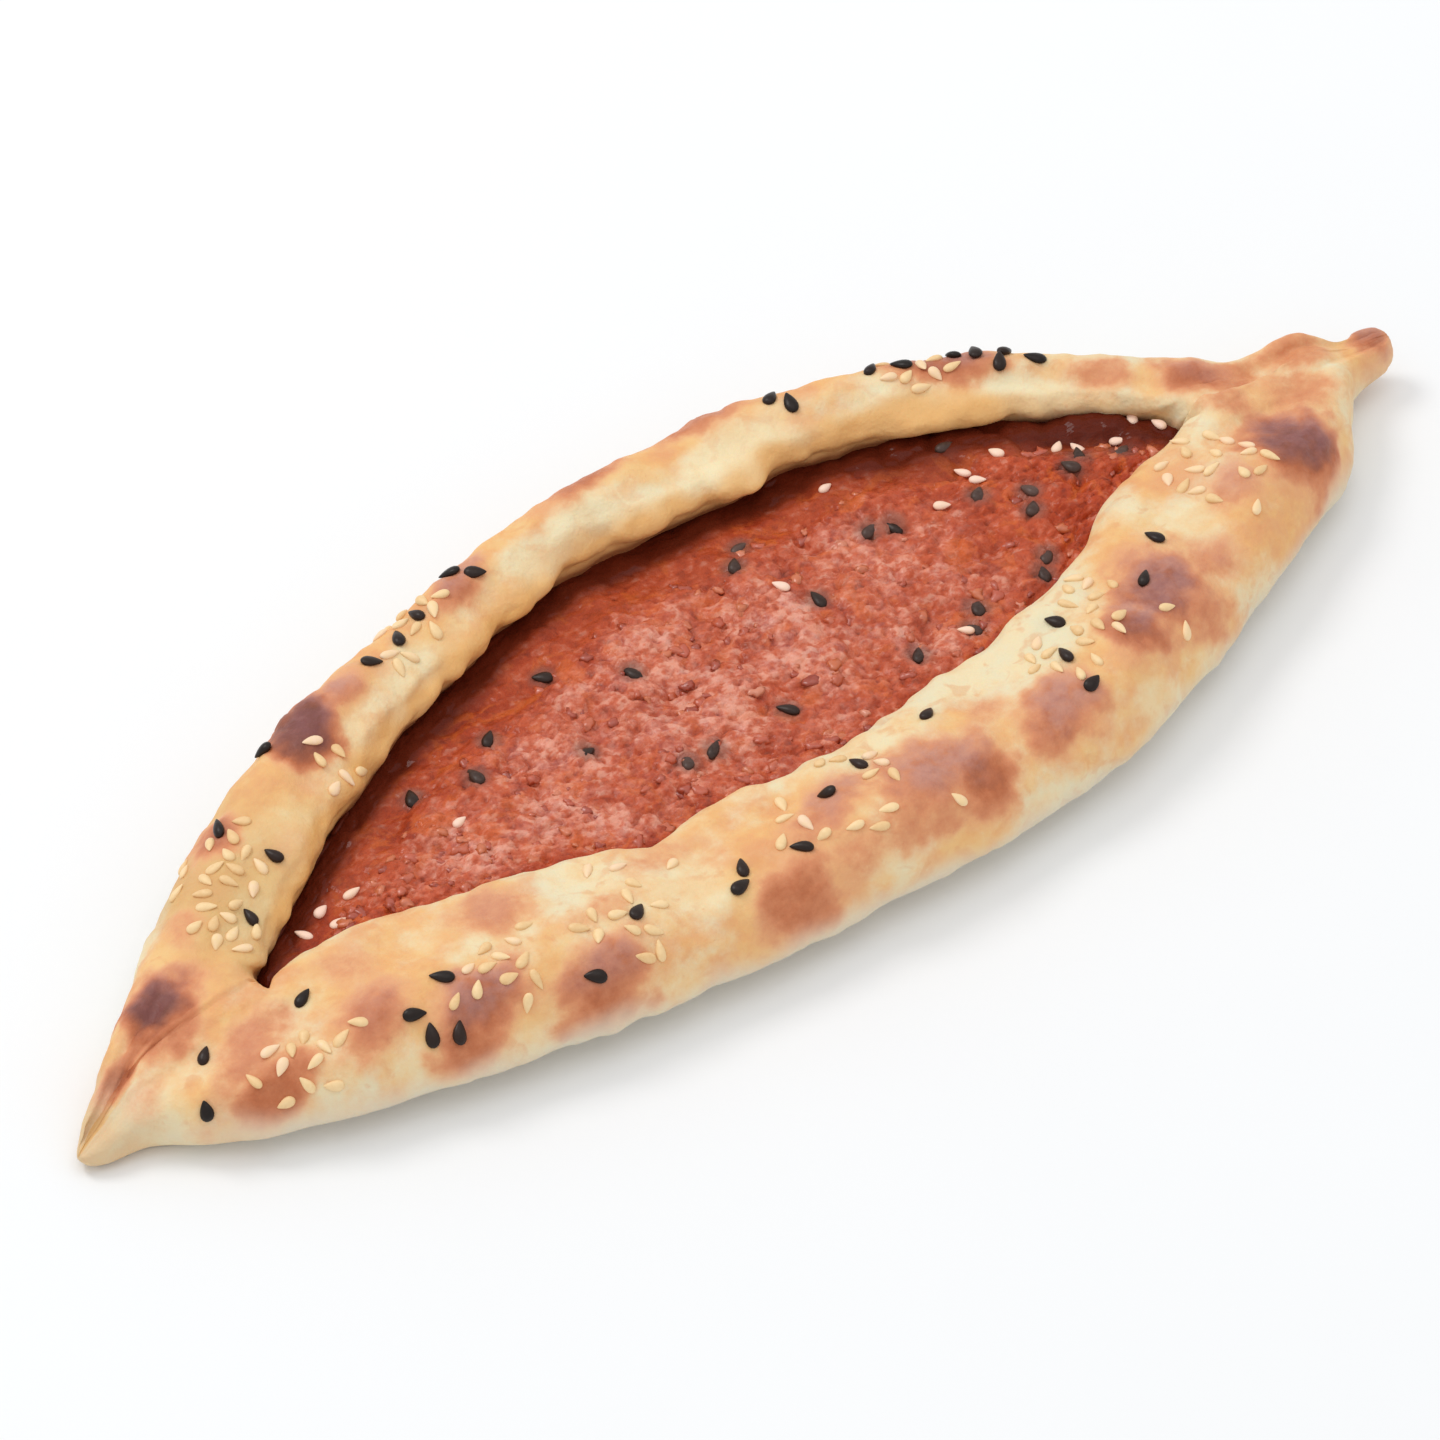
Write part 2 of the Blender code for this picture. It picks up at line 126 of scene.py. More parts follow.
# Broad swells: (size across, height) in millimetres. The crust's fade in above a height.
CRUST_SWELL = (15.0, 0.9)
SWELL_START = 5.0
SWELL_RAMP = 4.0
FILLING_LUMPS = ((11.0, 1.0), (5.5, 0.7))

# Fine relief, in millimetres: (size across, height)
CRUST_BUMPS = ((7.5, 0.7), (3.4, 0.34), (1.5, 0.1))
BLISTER_SIZE = 3.6
BLISTER_HEIGHT = 0.34
LIP_CRINKLE = ((9.0, 1.0), (3.6, 0.5))
LIP_LOBES = ((11.0, 1.4), (5.0, 1.2))
GRAIN_SIZE = 2.6
GRAIN_HEIGHT = 0.8
FINE_GRAIN_SIZE = 0.95
FINE_GRAIN_HEIGHT = 0.5
CLUMP_SIZE = 6.5
CLUMP_HEIGHT = 1.5
# What bends the grains: (size across, reach), and where its noise is read for X, Y and Z
GRAIN_WARP = (3.0, 0.6)
WARP_SHIFTS = (0.0, 31.0, 57.0)
# Makes the tones of neighbouring grains unlike each other
TONE_SCATTER = 31.7
# The paste is smoother this near to the far lip
SMOOTH_BAND = 7.0

# Lobes that hang from the far lip: (x, half width, reach over the filling) in millimetres
FAR_LOBES = (
    (-24, 5, 0.8), (-9, 6, 0.9), (10, 4, 0.8), (26.8, 4.2, 1.7), (54, 4.5, 1.5), (61.5, 3.4, 1.4),
)  # fmt: skip

# The fold at the left tip: where it ends along the pie, and its groove and overlap in millimetres
FOLD_END = 0.085
FOLD_GROOVE = (0.9, 0.9)
FOLD_OVERLAP = (1.6, 0.6)

# How far the painted sheen, a mauve reflection painted on a scorch mark's upward faces,
# lies beyond the mark's middle, in millimetres
SHEEN_SHIFT = (1.3, 1.5)

# Scorch marks: (x, y, reach along, reach across, turn in degrees, strength, painted mauve sheen)
SCORCH_MARKS = (
    (-110.5, 6.6, 8.5, 2.3, 13, 0.66, 0.0), (-111, 1, 7, 4, 0, 0.3, 0.0),
    (-99, 9.8, 7.5, 6.5, 30, 1.0, 0.7), (-94, -3, 11, 6, 20, 0.46, 0.2),
    (-96, -10.4, 8.5, 4.2, 0, 0.64, 0.0), (-80, -11.5, 8, 6, 0, 0.58, 0.4),
    (-68, -19, 9.5, 5.5, 5, 0.7, 0.9), (-51.5, -25.4, 9.5, 6, 0, 0.64, 0.7),
    (-56, -7.5, 9, 6, 0, 0.44, 0.4), (-32, -14.6, 9, 4, 0, 0.3, 0.1),
    (-76, -1.5, 6, 5, 0, 0.32, 0.1), (-45, -17.4, 9, 3.2, 0, 0.32, 0.0),
    (-21, -30.5, 10, 5.5, 5, 0.6, 0.0), (-9, -23, 10, 6, 10, 0.5, 0.8),
    (5, -27.5, 13, 8, -6, 0.6, 0.95), (11.5, -31.5, 7.5, 5, 0, 0.7, 0.0),
    (-1, -31, 8, 4.5, 0, 0.42, 0.0), (20, -23, 6, 4, 0, 0.34, 0.2),
    (-11, -30.5, 9, 4, 0, 0.36, 0.0), (27, -29.5, 9, 6.5, 0, 0.62, 0.9),
    (53, -21.5, 11, 7.5, 49, 0.78, 1.0), (45.5, -25.5, 6.5, 5.5, 0, 0.8, 1.0),
    (56.5, -26, 7.5, 5.5, 0, 0.5, 0.2), (63.5, -21, 6, 4.5, 0, 0.42, 0.4),
    (92.9, 6.2, 6, 5, 0, 0.44, 0.0), (43, -28, 7, 4, 0, 0.36, 0.1),
    (72.5, -4.5, 9, 5.5, 40, 0.26, 0.0), (86, -18, 8, 4.5, 40, 0.3, 0.0),
    (75, -13.5, 7, 5, 0, 0.4, 0.7), (88.8, -11.2, 9.5, 8.8, 20, 0.92, 1.0),
    (97, -2.5, 9, 6, -20, 0.42, 0.0), (104, 5, 7, 6, 0, 0.42, 0.0), (88, 0.5, 6, 4, -30, 0.38, 0.0),
    (-75, 27.6, 6, 4, 40, 0.62, 0.3), (-53.5, 34.8, 8.5, 6.5, 35, 1.0, 0.9),
    (-45, 37, 6, 3.5, 25, 0.55, 1.0), (-19, 43, 7.5, 3.6, 20, 0.62, 0.9),
    (7, 47.5, 11, 3.4, 5, 0.6, 0.5), (28, 47, 12, 3.4, -10, 0.54, 0.6),
    (62, 32.5, 11, 4.8, -38, 0.68, 1.0), (79, 17.5, 6, 3.4, -50, 0.42, 0.2),
    (88, 9.5, 7.5, 4.6, -50, 0.68, 0.5), (-88, 18, 5.5, 3.6, 40, 0.36, 0.0),
    (116.5, 1.4, 5, 4.5, 0, 0.66, 0.9),
)  # fmt: skip

# Golden spots away from the scorch marks: (x, y, reach along, reach across)
GOLDEN_SPOTS = (
    (16, 43, 8, 5), (43, 37.5, 9, 4.5), (78.5, -22, 8, 5), (-74, 19.5, 7, 4), (-61.5, 26, 6, 5),
    (-16.5, 37, 9, 4), (69, -4.5, 6, 4.5), (-22, -23.5, 6, 4),
)  # fmt: skip

# The tanned patch of the left rim and the wide stretch of the golden lip: (x, half width), and
# how wide the golden lip is: outside, more of it on the inner face and more in the wide stretch
TAN_PATCH = (-80.0, 13.0)
WIDE_LIP = (55.0, 9.0)
LIP_BAND = (2.6, 3.0, 1.8)

# Seeds in millimetres: length, width and thickness, the share that sinks in, how far apart
# scattered ones lie, and the lowest place and steepest slope that still hold one
BLACK_SIZE = (3.3, 2.0, 1.3)
SESAME_SIZE = (2.8, 1.6, 1.1)
SEED_SINK = 0.12
SEED_SPACING = 2.3
LOWEST_SEED = 7.6
STEEPEST_SEED = 0.35
MOST_TRIES = 40
ABOVE_ALL = 50.0
# A seed's shape: how far its sizes vary, how its width narrows along it, its bend and its mesh
SEED_SPREAD = (0.88, 1.12)
SEED_TAPER = (0.87, 0.42, 0.12)
SEED_BEND = 0.12
SEED_MESH = (14, 10)
# How much flatter than the paste a seed on it lies, and the dull ring round a black one
SEED_LEVELLING = 0.8
HALO_REACH = 2.9
HALO_FADE = 1.8

# Black seeds and sesame that lie singly: (x, y, heading in degrees)
BLACK_ON_BREAD = (
    (-104, -6, 50), (-99, 0.5, 35), (-84, -2, 20), (-80, 14, 85), (-71, 20, 110),
    (-73.5, 28.5, 60), (-60, 35.5, 137), (-75.5, -15, -25), (-75, -18, 60), (-71.8, -19.8, 65),
    (-69, -13, 137), (-52.2, -24.8, 137), (-41.5, -21, 30), (-25, -23.5, 60), (-27.5, -26, 10),
    (-16.5, -26, 137), (-7.5, -21, 137), (-0.5, -19.5, 100), (13, -18.5, 30), (38.5, -16.5, 115),
    (34.5, -23, 80), (33.5, -29.5, 15), (53, -19, 35), (60, -13.5, 100), (-38, 39, -20),
    (-32, 40.5, 60), (-27, 42.5, 100), (-18.5, 45.5, 137), (-16, 43, -40), (38.5, 43, 30),
    (40, 40.5, 70), (53, 38, 30), (57, 36, 120), (64, 33, 80), (66.5, 31, 60), (70.5, 29, 20),
    (68, 27.5, 50), (73, 25.5, 137),
)  # fmt: skip
BLACK_ON_FILLING = (
    (-46.5, 20.5, 60), (-38, 17, 85), (-31.5, 22, 40), (-23, 11, 10), (-17.5, 27, 137),
    (-8.5, 18.5, 100), (-14, 0.5, 60), (-9.5, 0, 30), (3.5, -0.5, 120), (16, 25, 50),
    (19.5, 28, 10), (20.5, 12.5, 80), (24, -4.5, 50), (38, 16.5, 100), (35, 18, 20),
    (36.5, -3, 60), (33.5, -5.5, 100), (50.5, 12.5, 40), (50.5, -2, 30), (48, -4, 70),
    (56.5, 8.5, 100), (54.5, 5.5, 40), (54.5, 24, 0), (67, 9.5, 60), (64, 8, 110), (73, 7, 20),
)  # fmt: skip
SESAME_ON_FILLING = (
    (-74, 10.2, 110), (-69, 8.8, 0), (-69.5, 12, 20), (-64.5, 11.5, 5), (-45, 12, 10),
    (18, 17.5, 120), (36.5, 29, 10), (45.5, 14.5, -35), (52.5, 18, 110), (52.5, 14.8, -43),
    (58, 17, 110), (32, -5.5, 130), (66.5, 13.5, 30), (69, 12, 90), (74.5, 9.5, -35),
    (79, 11.5, 60), (80.5, 7.5, 100),
)  # fmt: skip
# Sesame scattered over the crust: (x, y, reach, how many)
SESAME_PATCHES = (
    (-75, 25, 6.5, 18), (-83, 14, 4, 6), (-54, 28, 4, 4), (-84, -11, 3, 2), (-93, -11, 4, 5),
    (-57, -16, 4, 4), (-67, -15.5, 4, 4), (-42, -23, 5, 5), (-14, -24, 4, 4), (1, -22, 4, 4),
    (5, -32, 2, 1), (39, -22, 6, 8), (46, -13, 3, 2), (50, -27, 3, 2), (75, -10, 9, 9),
    (60, 35, 5, 7), (-25, 42, 4, 5), (-34, 37.5, 3, 3),
)  # fmt: skip

# Further sesame in the thick of the patches, which the solids leave out
MORE_SESAME = (
    (-77, 24, 7, 16), (-84, 15, 4, 6), (-93, -11, 6, 5), (-54, 29, 4, 3), (-46, -21, 7, 5),
    (-62, -17, 6, 4), (-6, -22, 9, 6), (36, -22, 6, 5), (46, -15, 5, 4), (76, -8, 8, 9),
    (58, 36, 5, 4), (-30, 41, 5, 4), (-37, -14, 7, 4),
)  # fmt: skip

# Loose crumbs of pepper and cheese on the filling: how many, their reach, how far they keep
# from the far lip and the height that they drop from, in millimetres, then their shape
CRUMBS = 300
CRUMB_REACH = (0.45, 1.0)
CRUMBS_BELOW_LIP = 8.0
CRUMB_DROP = 9.9
CRUMB_MESH = (9, 7)
CRUMB_SHAPE = (1.25, 0.95, 0.7)
CRUMB_KNOBS = 0.9
CRUMB_SINK = 0.25

# The camera: the photo's view from a distance in metres, with the point that it frames in
# millimetres from the tips' line, and how far to the side and up of it, in metres, it points
CAMERA_AZIMUTH = -41.1
CAMERA_ELEVATION = 45.0
CAMERA_DISTANCE = 1.4
CAMERA_LENS = 253.5
FRAMED_POINT = (0.0, 8.5, 8.0)
FRAMED_OFFSET = (-0.0008, -0.00413)

# Lights: place, size, power in watts and colour. Lengths here are in metres.
KEY_LIGHT = ((-0.3, 0.85, 1.2), 0.6, 5.9, (1.0, 0.99, 0.975))
TOP_LIGHT = ((0.1, -0.1, 1.6), 1.4, 3.3, (0.98, 0.99, 1.0))
WORLD_COLOUR = (0.985, 0.993, 1.0, 1.0)
WORLD_STRENGTH = 0.8
FLOOR_SIZE = 6.0
FARTHEST_SEEN = 20.0


def spline(table, at):
    """The smooth curve through a table's points, read at one place or an array of them."""
    places, values = np.array(table, float).T
    slopes = np.gradient(values, places)
    at = np.clip(at, places[0], places[-1])
    k = np.clip(np.searchsorted(places, at, side="right") - 1, 0, len(places) - 2)
    step = places[k + 1] - places[k]
    t = (at - places[k]) / step
    return (
        (1 + 2 * t) * (1 - t) ** 2 * values[k]
        + t * (1 - t) ** 2 * step * slopes[k]
        + t**2 * (3 - 2 * t) * values[k + 1]
        + t**2 * (t - 1) * step * slopes[k + 1]
    )


def smoothstep(t):
    """0 below 0, 1 above 1 and smooth between them."""
    t = np.clip(t, 0.0, 1.0)
    return t * t * (3 - 2 * t)


def openness(u):
    """0 where the rims are closed over each other, 1 where the basin has its full depth."""
    rise = smoothstep((u - OPENING_START) / OPENING_RAMP)
    return rise * smoothstep((OPENING_END - u) / OPENING_RAMP)


def rim(edge, lip, crest, base, seam, opened):
    """One rim's points in a section, from the foot over the crest and down to the floor."""
    inward = 1.0 if lip > edge else -1.0
    width = abs(lip - edge)
    top = crest - base
    outer = [(edge + inward * width * share, base + top * rise) for share, rise in OUTER_RIM]
    lip_top = min(LIP_HEIGHT, crest - LIP_BELOW_CREST * top)
    open_rim = [
        (lip - inward * min(LIP_SHOULDER, SHOULDER_SHARE * width), lip_top),
        (lip, lip_top - LIP_FACE),
        (lip - inward * 0.5 * LIP_UNDERCUT, lip_top - 2.1 * LIP_FACE),
        (lip - inward * LIP_UNDERCUT, UNDERCUT_HEIGHT),
        (lip - inward * 0.6 * LIP_UNDERCUT, BASIN_FLOOR + 0.2 * FLOOR_CURVE),
        (lip + inward * min(FLOOR_CURVE, 0.25 * abs(seam - lip)), BASIN_FLOOR),
    ]
    closed_rim = [
        (seam - inward * width * share, base + top * rise) for share, rise in CLOSED_RIM
    ]
    inner = [
        (a[0] * opened + b[0] * (1 - opened), a[1] * opened + b[1] * (1 - opened))
        for a, b in zip(open_rim, closed_rim)
    ]
    return outer + inner


def crust_swell(x, section):
    """How far the crust swells at a section's points, fading out towards the floor."""
    size, height = CRUST_SWELL
    lift = [noise.noise(Vector((x / size, y / size, 0.0))) for y, _ in section]
    return height * np.array(lift) * smoothstep((section[:, 1] - SWELL_START) / SWELL_RAMP)


def bread_section(u, per_step):
    """The bread's upper outline across the pie, from the near foot to the far one, as (y, z)."""
    base = max(0.0, float(spline(UNDERSIDE, u)))
    near_lip, far_lip = float(spline(NEAR_LIP, u)), float(spline(FAR_LIP, u))
    opened = openness(u)
    seam = 0.5 * (near_lip + far_lip)
    near = rim(
        float(spline(NEAR_EDGE, u)), near_lip, float(spline(NEAR_CREST, u)), base, seam, opened
    )
    far = rim(
        float(spline(FAR_EDGE, u)), far_lip, float(spline(FAR_CREST, u)), base, seam, opened
    )
    seam_height = 0.5 * (near[-1][1] + far[-1][1])
    middle = (seam, BASIN_FLOOR * opened + seam_height * (1 - opened))
    points = np.array(near + [middle] + far[::-1])
    steps = np.linalg.norm(np.diff(points, axis=0), axis=1)
    along = np.concatenate([[0.0], np.cumsum(steps)])
    count = (len(points) - 1) * per_step + 1
    at = np.interp(np.linspace(0, len(points) - 1, count), np.arange(len(points)), along)
    section = np.stack([spline(np.stack([along, points[:, k]], 1), at) for k in range(2)], 1)
    section[:, 1] += crust_swell((u - 0.5) * LENGTH, section)
    return section


def stations(count):
    """Places along the pie, closer together towards the tips, where the section shrinks fastest."""
    even = np.linspace(-1.0, 1.0, count)
    crowded = np.sin(0.5 * math.pi * even)
    return 0.5 + 0.5 * (even + TIP_CROWDING * (crowded - even))


def bread_rings(count, per_step, across_bottom):
    """The bread's surface as rings of points, from the left tip to the right one."""
    rings = []
    for u in stations(count):
        x = (u - 0.5) * LENGTH
        top = bread_section(u, per_step)
        share = np.linspace(0, 1, across_bottom + 2)[1:-1, None]
        section = np.concatenate([top, top[-1] * (1 - share) + top[0] * share])
        reach = min(1.0, (0.5 * LENGTH - abs(x) + TIP_END) / TIP_ROUNDING)
        shrink = math.sqrt(1 - (1 - reach) ** 2)
        middle = section.mean(axis=0)
        section = middle + (section - middle) * shrink
        rings.append(np.column_stack([np.full(len(section), x), section]))
    return np.array(rings)


def filling_bed(section, per_step, count):
    """The basin's wall and floor below the filling's level, sunk a little into the bread.

    None where the basin is too shallow to hold any filling.
    """
    basin = section[LIP_POINT * per_step : len(section) - LIP_POINT * per_step]
    run = np.gradient(basin, axis=0)
    run /= np.linalg.norm(run, axis=1)[:, None]
    basin = basin - SUNK_INTO_BREAD * np.column_stack([-run[:, 1], run[:, 0]])
    if basin[:, 1].min() > FILLING_LEVEL - THINNEST_FILLING:
        return None
    lowest = int(basin[:, 1].argmin())
    below = basin[:, 1] < FILLING_LEVEL
    first = lowest - int((~below[:lowest][::-1]).argmax())
    last = lowest + int((~below[lowest:]).argmax())
    ends = []
    for inside, outside in ((first, first - 1), (last - 1, last)):
        share = (FILLING_LEVEL - basin[inside, 1]) / (basin[outside, 1] - basin[inside, 1])
        ends.append(basin[inside] + share * (basin[outside] - basin[inside]))
    bed = np.concatenate([ends[:1], basin[first:last], ends[1:]])
    along = np.concatenate([[0.0], np.cumsum(np.linalg.norm(np.diff(bed, axis=0), axis=1))])
    at = np.linspace(0, along[-1], count)
    return np.column_stack([np.interp(at, along, bed[:, k]) for k in range(2)])


def filling_rings(count, per_step, bed_count, top_count):
    """The filling's surface as rings of points, each the bed and then the lumpy top."""
    rings = []
    for u in stations(count):
        if not OPENING_START < u < OPENING_END:
            continue
        bed = filling_bed(bread_section(u, per_step), per_step, bed_count)
        if bed is None:
            continue
        x = (u - 0.5) * LENGTH
        share = np.linspace(1, 0, top_count + 2)[1:-1]
        across = bed[0, 0] + (bed[-1, 0] - bed[0, 0]) * share
        depth = FILLING_LEVEL - bed[:, 1].min()
        rise = np.sin(math.pi * share) ** 0.5 * min(1.0, depth / FULL_DOME_DEPTH)
        lumps = [
            sum(
                height * noise.noise(Vector((x / size, y / size, size)))
                for size, height in FILLING_LUMPS
            )
            for y in across
        ]
        top = np.column_stack([across, FILLING_LEVEL + rise * (FILLING_DOME + np.array(lumps))])
        section = np.concatenate([bed, top])
        rings.append(np.column_stack([np.full(len(section), x), section]))
    return np.array(rings)


def noise_at(points, size, basis="PERLIN_ORIGINAL"):
    """Noise of one size at each point of an array, as an array of the same shape."""
    flat = (points.reshape(-1, 3) / size + size).tolist()
    values = [noise.noise(point, noise_basis=basis) for point in flat]
    return np.array(values).reshape(points.shape[:-1])


def outward(rings):
    """The surface's outward direction at every point of its rings."""
    along = np.gradient(rings, axis=0)
    around = np.roll(rings, -1, axis=1) - np.roll(rings, 1, axis=1)
    normals = np.cross(along, around)
    normals /= np.linalg.norm(normals, axis=2)[..., None] + 1e-9
    crest = rings[len(rings) // 2, :, 2].argmax()
    return normals * np.sign(normals[len(rings) // 2, crest, 2])


def scorch_of(rings, normals):
    """How brown the crust is, how much painted sheen it has and how golden it is at every point,
    from its scorch marks. The sheen is a mauve reflection painted on the marks' upward faces.
    """
    x, y = rings[..., 0], rings[..., 1]
    ragged = 0.32 * noise_at(rings, 5.0) + 0.16 * noise_at(rings, 2.0)
    facing_up = smoothstep((normals[..., 2] - 0.45) / 0.45)
    brown, painted_sheen, gold = (np.zeros(x.shape) for _ in range(3))
    for mark_x, mark_y, along, across, turn, strength, sheen in SCORCH_MARKS:
        c, s = math.cos(math.radians(turn)), math.sin(math.radians(turn))
        dx, dy = x - mark_x, y - mark_y
        far = np.hypot((dx * c + dy * s) / along, (dy * c - dx * s) / across) + ragged
        near = strength * smoothstep((1.36 - far) / 1.15)
        # The sheen is a reflection painted in mauve on the marks' upward faces, a little off their
        # middles.
        up_x, up_y = dx - SHEEN_SHIFT[0], dy - SHEEN_SHIFT[1]
        out = np.hypot((up_x * c + up_y * s) / along, (up_y * c - up_x * s) / across) + ragged
        painted_sheen = np.maximum(painted_sheen, sheen * facing_up * smoothstep((0.9 - out) / 0.65))
        brown = np.maximum(brown, near)
        gold = np.maximum(gold, (0.4 + 0.6 * strength) * smoothstep((2.3 - far) / 1.6))
    return brown, painted_sheen, gold


def golden_spots(rings):
    """How golden the crust is at every point from its spots away from the scorch marks."""
    spots = np.zeros(rings.shape[:2])
    for spot_x, spot_y, along, across in GOLDEN_SPOTS:
        far = np.hypot((rings[..., 0] - spot_x) / along, (rings[..., 1] - spot_y) / across)
        spots = np.maximum(spots, np.exp(-(far**2)))
    return spots


def crust_relief(rings, brown):
    """The height of the crust's bumps and blisters above the smooth shape."""
    height = sum(size_height * noise_at(rings, size) for size, size_height in CRUST_BUMPS)
    bubbles = 1.0 - noise_at(rings, BLISTER_SIZE, "VORONOI_F1")
    blisters = BLISTER_HEIGHT * smoothstep(1.6 * (bubbles - 0.35)) * smoothstep(brown * 1.6)
    off_floor = smoothstep((rings[..., 2] - 1.5) / 4.0)
    return (height + blisters) * off_floor


def tip_fold(rings):
    """The near rim's flap over the far one at the left tip, with a groove at the seam."""
    u = rings[..., 0] / LENGTH + 0.5
    beyond = rings[..., 1] - 0.5 * (spline(NEAR_LIP, u) + spline(FAR_LIP, u))
    deep, half_width = FOLD_GROOVE
    reach, height = FOLD_OVERLAP
    groove = -deep * np.exp(-(((beyond - 0.4) / half_width) ** 2))
    flap = height * smoothstep(0.5 - beyond / reach) * smoothstep(1 + (beyond + 3.0) / 6.0)
    upper = smoothstep((rings[..., 2] - 0.6 * spline(NEAR_CREST, u)) / 2.0)
    fading = smoothstep((FOLD_END - u) / 0.04) * smoothstep(u / 0.015)
    return (groove + flap) * upper * fading


def lip_crinkle(rings):
    """How far the lips' edges wander sideways and the far one's lobes hang, in millimetres."""
    u = rings[..., 0] / LENGTH + 0.5
    y, z = rings[..., 1], rings[..., 2]
    near_by = np.minimum(np.abs(y - spline(NEAR_LIP, u)), np.abs(y - spline(FAR_LIP, u)))
    opened = smoothstep((u - OPENING_START) / 0.05) * smoothstep((OPENING_END - u) / 0.05)
    edge = smoothstep((3.4 - near_by) / 3.0) * smoothstep((z - 8.2) / 2.0) * opened
    wander = sum(height * noise_at(rings, size) for size, height in LIP_CRINKLE)
    lobes = sum(height * (0.3 - np.abs(noise_at(rings, size))) for size, height in LIP_LOBES)
    lobes *= 1 - 0.8 * smoothstep((u - 0.64) / 0.08)
    for lobe_x, half_width, reach in FAR_LOBES:
        lobes -= reach * np.exp(-(((rings[..., 0] - lobe_x) / half_width) ** 4))
    far_side = y > 0.5 * (spline(NEAR_LIP, u) + spline(FAR_LIP, u))
    return edge * np.where(far_side, wander + lobes, wander)


def placed(points):
    """Points in metres, with the origin at the middle of the underside."""
    return (np.asarray(points, float) - (0.0, MIDDLE_Y, 0.0)) * MM


def grid_object(name, rings, attributes):
    """A closed object through rings of points, with a number of each named attribute at a point."""
    count, size = rings.shape[:2]
    index = np.arange(count * size).reshape(count, size)
    along = np.roll(index, -1, axis=1)
    faces = np.stack([index[:-1], along[:-1], along[1:], index[1:]], axis=-1).reshape(-1, 4)
    mesh = bpy.data.meshes.new(name)
    caps = [index[0][::-1].tolist(), index[-1].tolist()]
    mesh.from_pydata(placed(rings.reshape(-1, 3)).tolist(), [], faces.tolist() + caps)
    bm = bmesh.new()
    bm.from_mesh(mesh)
    bmesh.ops.recalc_face_normals(bm, faces=bm.faces)
    bm.to_mesh(mesh)
    bm.free()
    for key, values in attributes.items():
        layer = mesh.attributes.new(key, "FLOAT", "POINT")
        layer.data.foreach_set("value", np.ascontiguousarray(values, np.float32).reshape(-1))
    mesh.shade_smooth()
    obj = bpy.data.objects.new(name, mesh)
    bpy.context.scene.collection.objects.link(obj)
    return obj


def srgb(red, green, blue):
    """A colour read in sRGB, 0 to 255, as linear RGBA."""
    parts = np.array([red, green, blue]) / 255
    linear = np.where(parts <= 0.04045, parts / 12.92, ((parts + 0.055) / 1.055) ** 2.4)
    return (*linear.tolist(), 1.0)


class Looks:
    """A material's node tree, with short ways to add the nodes that it needs."""

    def __init__(self, name):
        self.material = bpy.data.materials.new(name)
        self.material.use_nodes = True
        self.tree = self.material.node_tree
        self.shader = self.tree.nodes["Principled BSDF"]
        self.place = self.add("ShaderNodeTexCoord").outputs["Object"]

    def add(self, kind, **settings):
        node = self.tree.nodes.new(kind)
        for key, value in settings.items():
            setattr(node, key, value)
        return node

    def join(self, source, target):
        self.tree.links.new(source, target)

    def feed(self, socket, value):
        """Sets a socket to a number or a colour, or links it to another node's output."""
        if isinstance(value, bpy.types.NodeSocket):
            self.join(value, socket)
        else:
            socket.default_value = value

    def attribute(self, name):
        return self.add("ShaderNodeAttribute", attribute_name=name).outputs["Fac"]

    def noise(self, size, detail=3.0, roughness=0.55, distortion=0.0):
        """Noise whose features are about this many millimetres across."""
        node = self.add("ShaderNodeTexNoise")
        self.join(self.place, node.inputs["Vector"])
        node.inputs["Scale"].default_value = 1 / (size * MM)
        node.inputs["Detail"].default_value = detail
        node.inputs["Roughness"].default_value = roughness
        node.inputs["Distortion"].default_value = distortion
        return node.outputs["Fac"]

    def math(self, operation, first, second):
        node = self.add("ShaderNodeMath", operation=operation)
        self.feed(node.inputs[0], first)
        self.feed(node.inputs[1], second)
        return node.outputs[0]

    def plus(self, first, second):
        return self.math("ADD", first, second)

    def times(self, first, second):
        return self.math("MULTIPLY", first, second)

    def ramp(self, factor, stops):
        """A colour ramp through (place, red, green, blue) stops, with colours from 0 to 255."""
        node = self.add("ShaderNodeValToRGB")
        elements = node.color_ramp.elements
        while len(elements) < len(stops):
            elements.new(0.5)
        for element, (place, *colour) in zip(elements, stops):
            element.position = place
            element.color = srgb(*colour)
        self.feed(node.inputs["Fac"], factor)
        return node.outputs["Color"]

    def between(self, value, low, high):
        """0 below low, 1 above high and smooth between them."""
        node = self.add("ShaderNodeMapRange", interpolation_type="SMOOTHSTEP")
        self.feed(node.inputs["Value"], value)
        node.inputs["From Min"].default_value = low
        node.inputs["From Max"].default_value = high
        return node.outputs["Result"]

    def mix(self, factor, first, second):
        node = self.add("ShaderNodeMix", data_type="RGBA")
        self.feed(node.inputs["Factor"], factor)
        self.feed(node.inputs[6], first)
        self.feed(node.inputs[7], second)
        return node.outputs[2]

    def tinted(self, base, where, share, *tint):
        """The base colour, mixed with this share of a tint from 0 to 255 where a mask is 1."""
        return self.mix(self.times(where, share), base, srgb(*tint))

    def bump(self, height, distance, strength):
        """Fine relief of this many millimetres on the shader's normal."""
        node = self.add("ShaderNodeBump")
        node.inputs["Strength"].default_value = strength
        node.inputs["Distance"].default_value = distance * MM
        self.join(height, node.inputs["Height"])
        self.join(node.outputs["Normal"], self.shader.inputs["Normal"])

    def set(self, **values):
        """Sets the shader's sockets, named with underscores for spaces."""
        for key, value in values.items():
            self.feed(self.shader.inputs[key.replace("_", " ")], value)


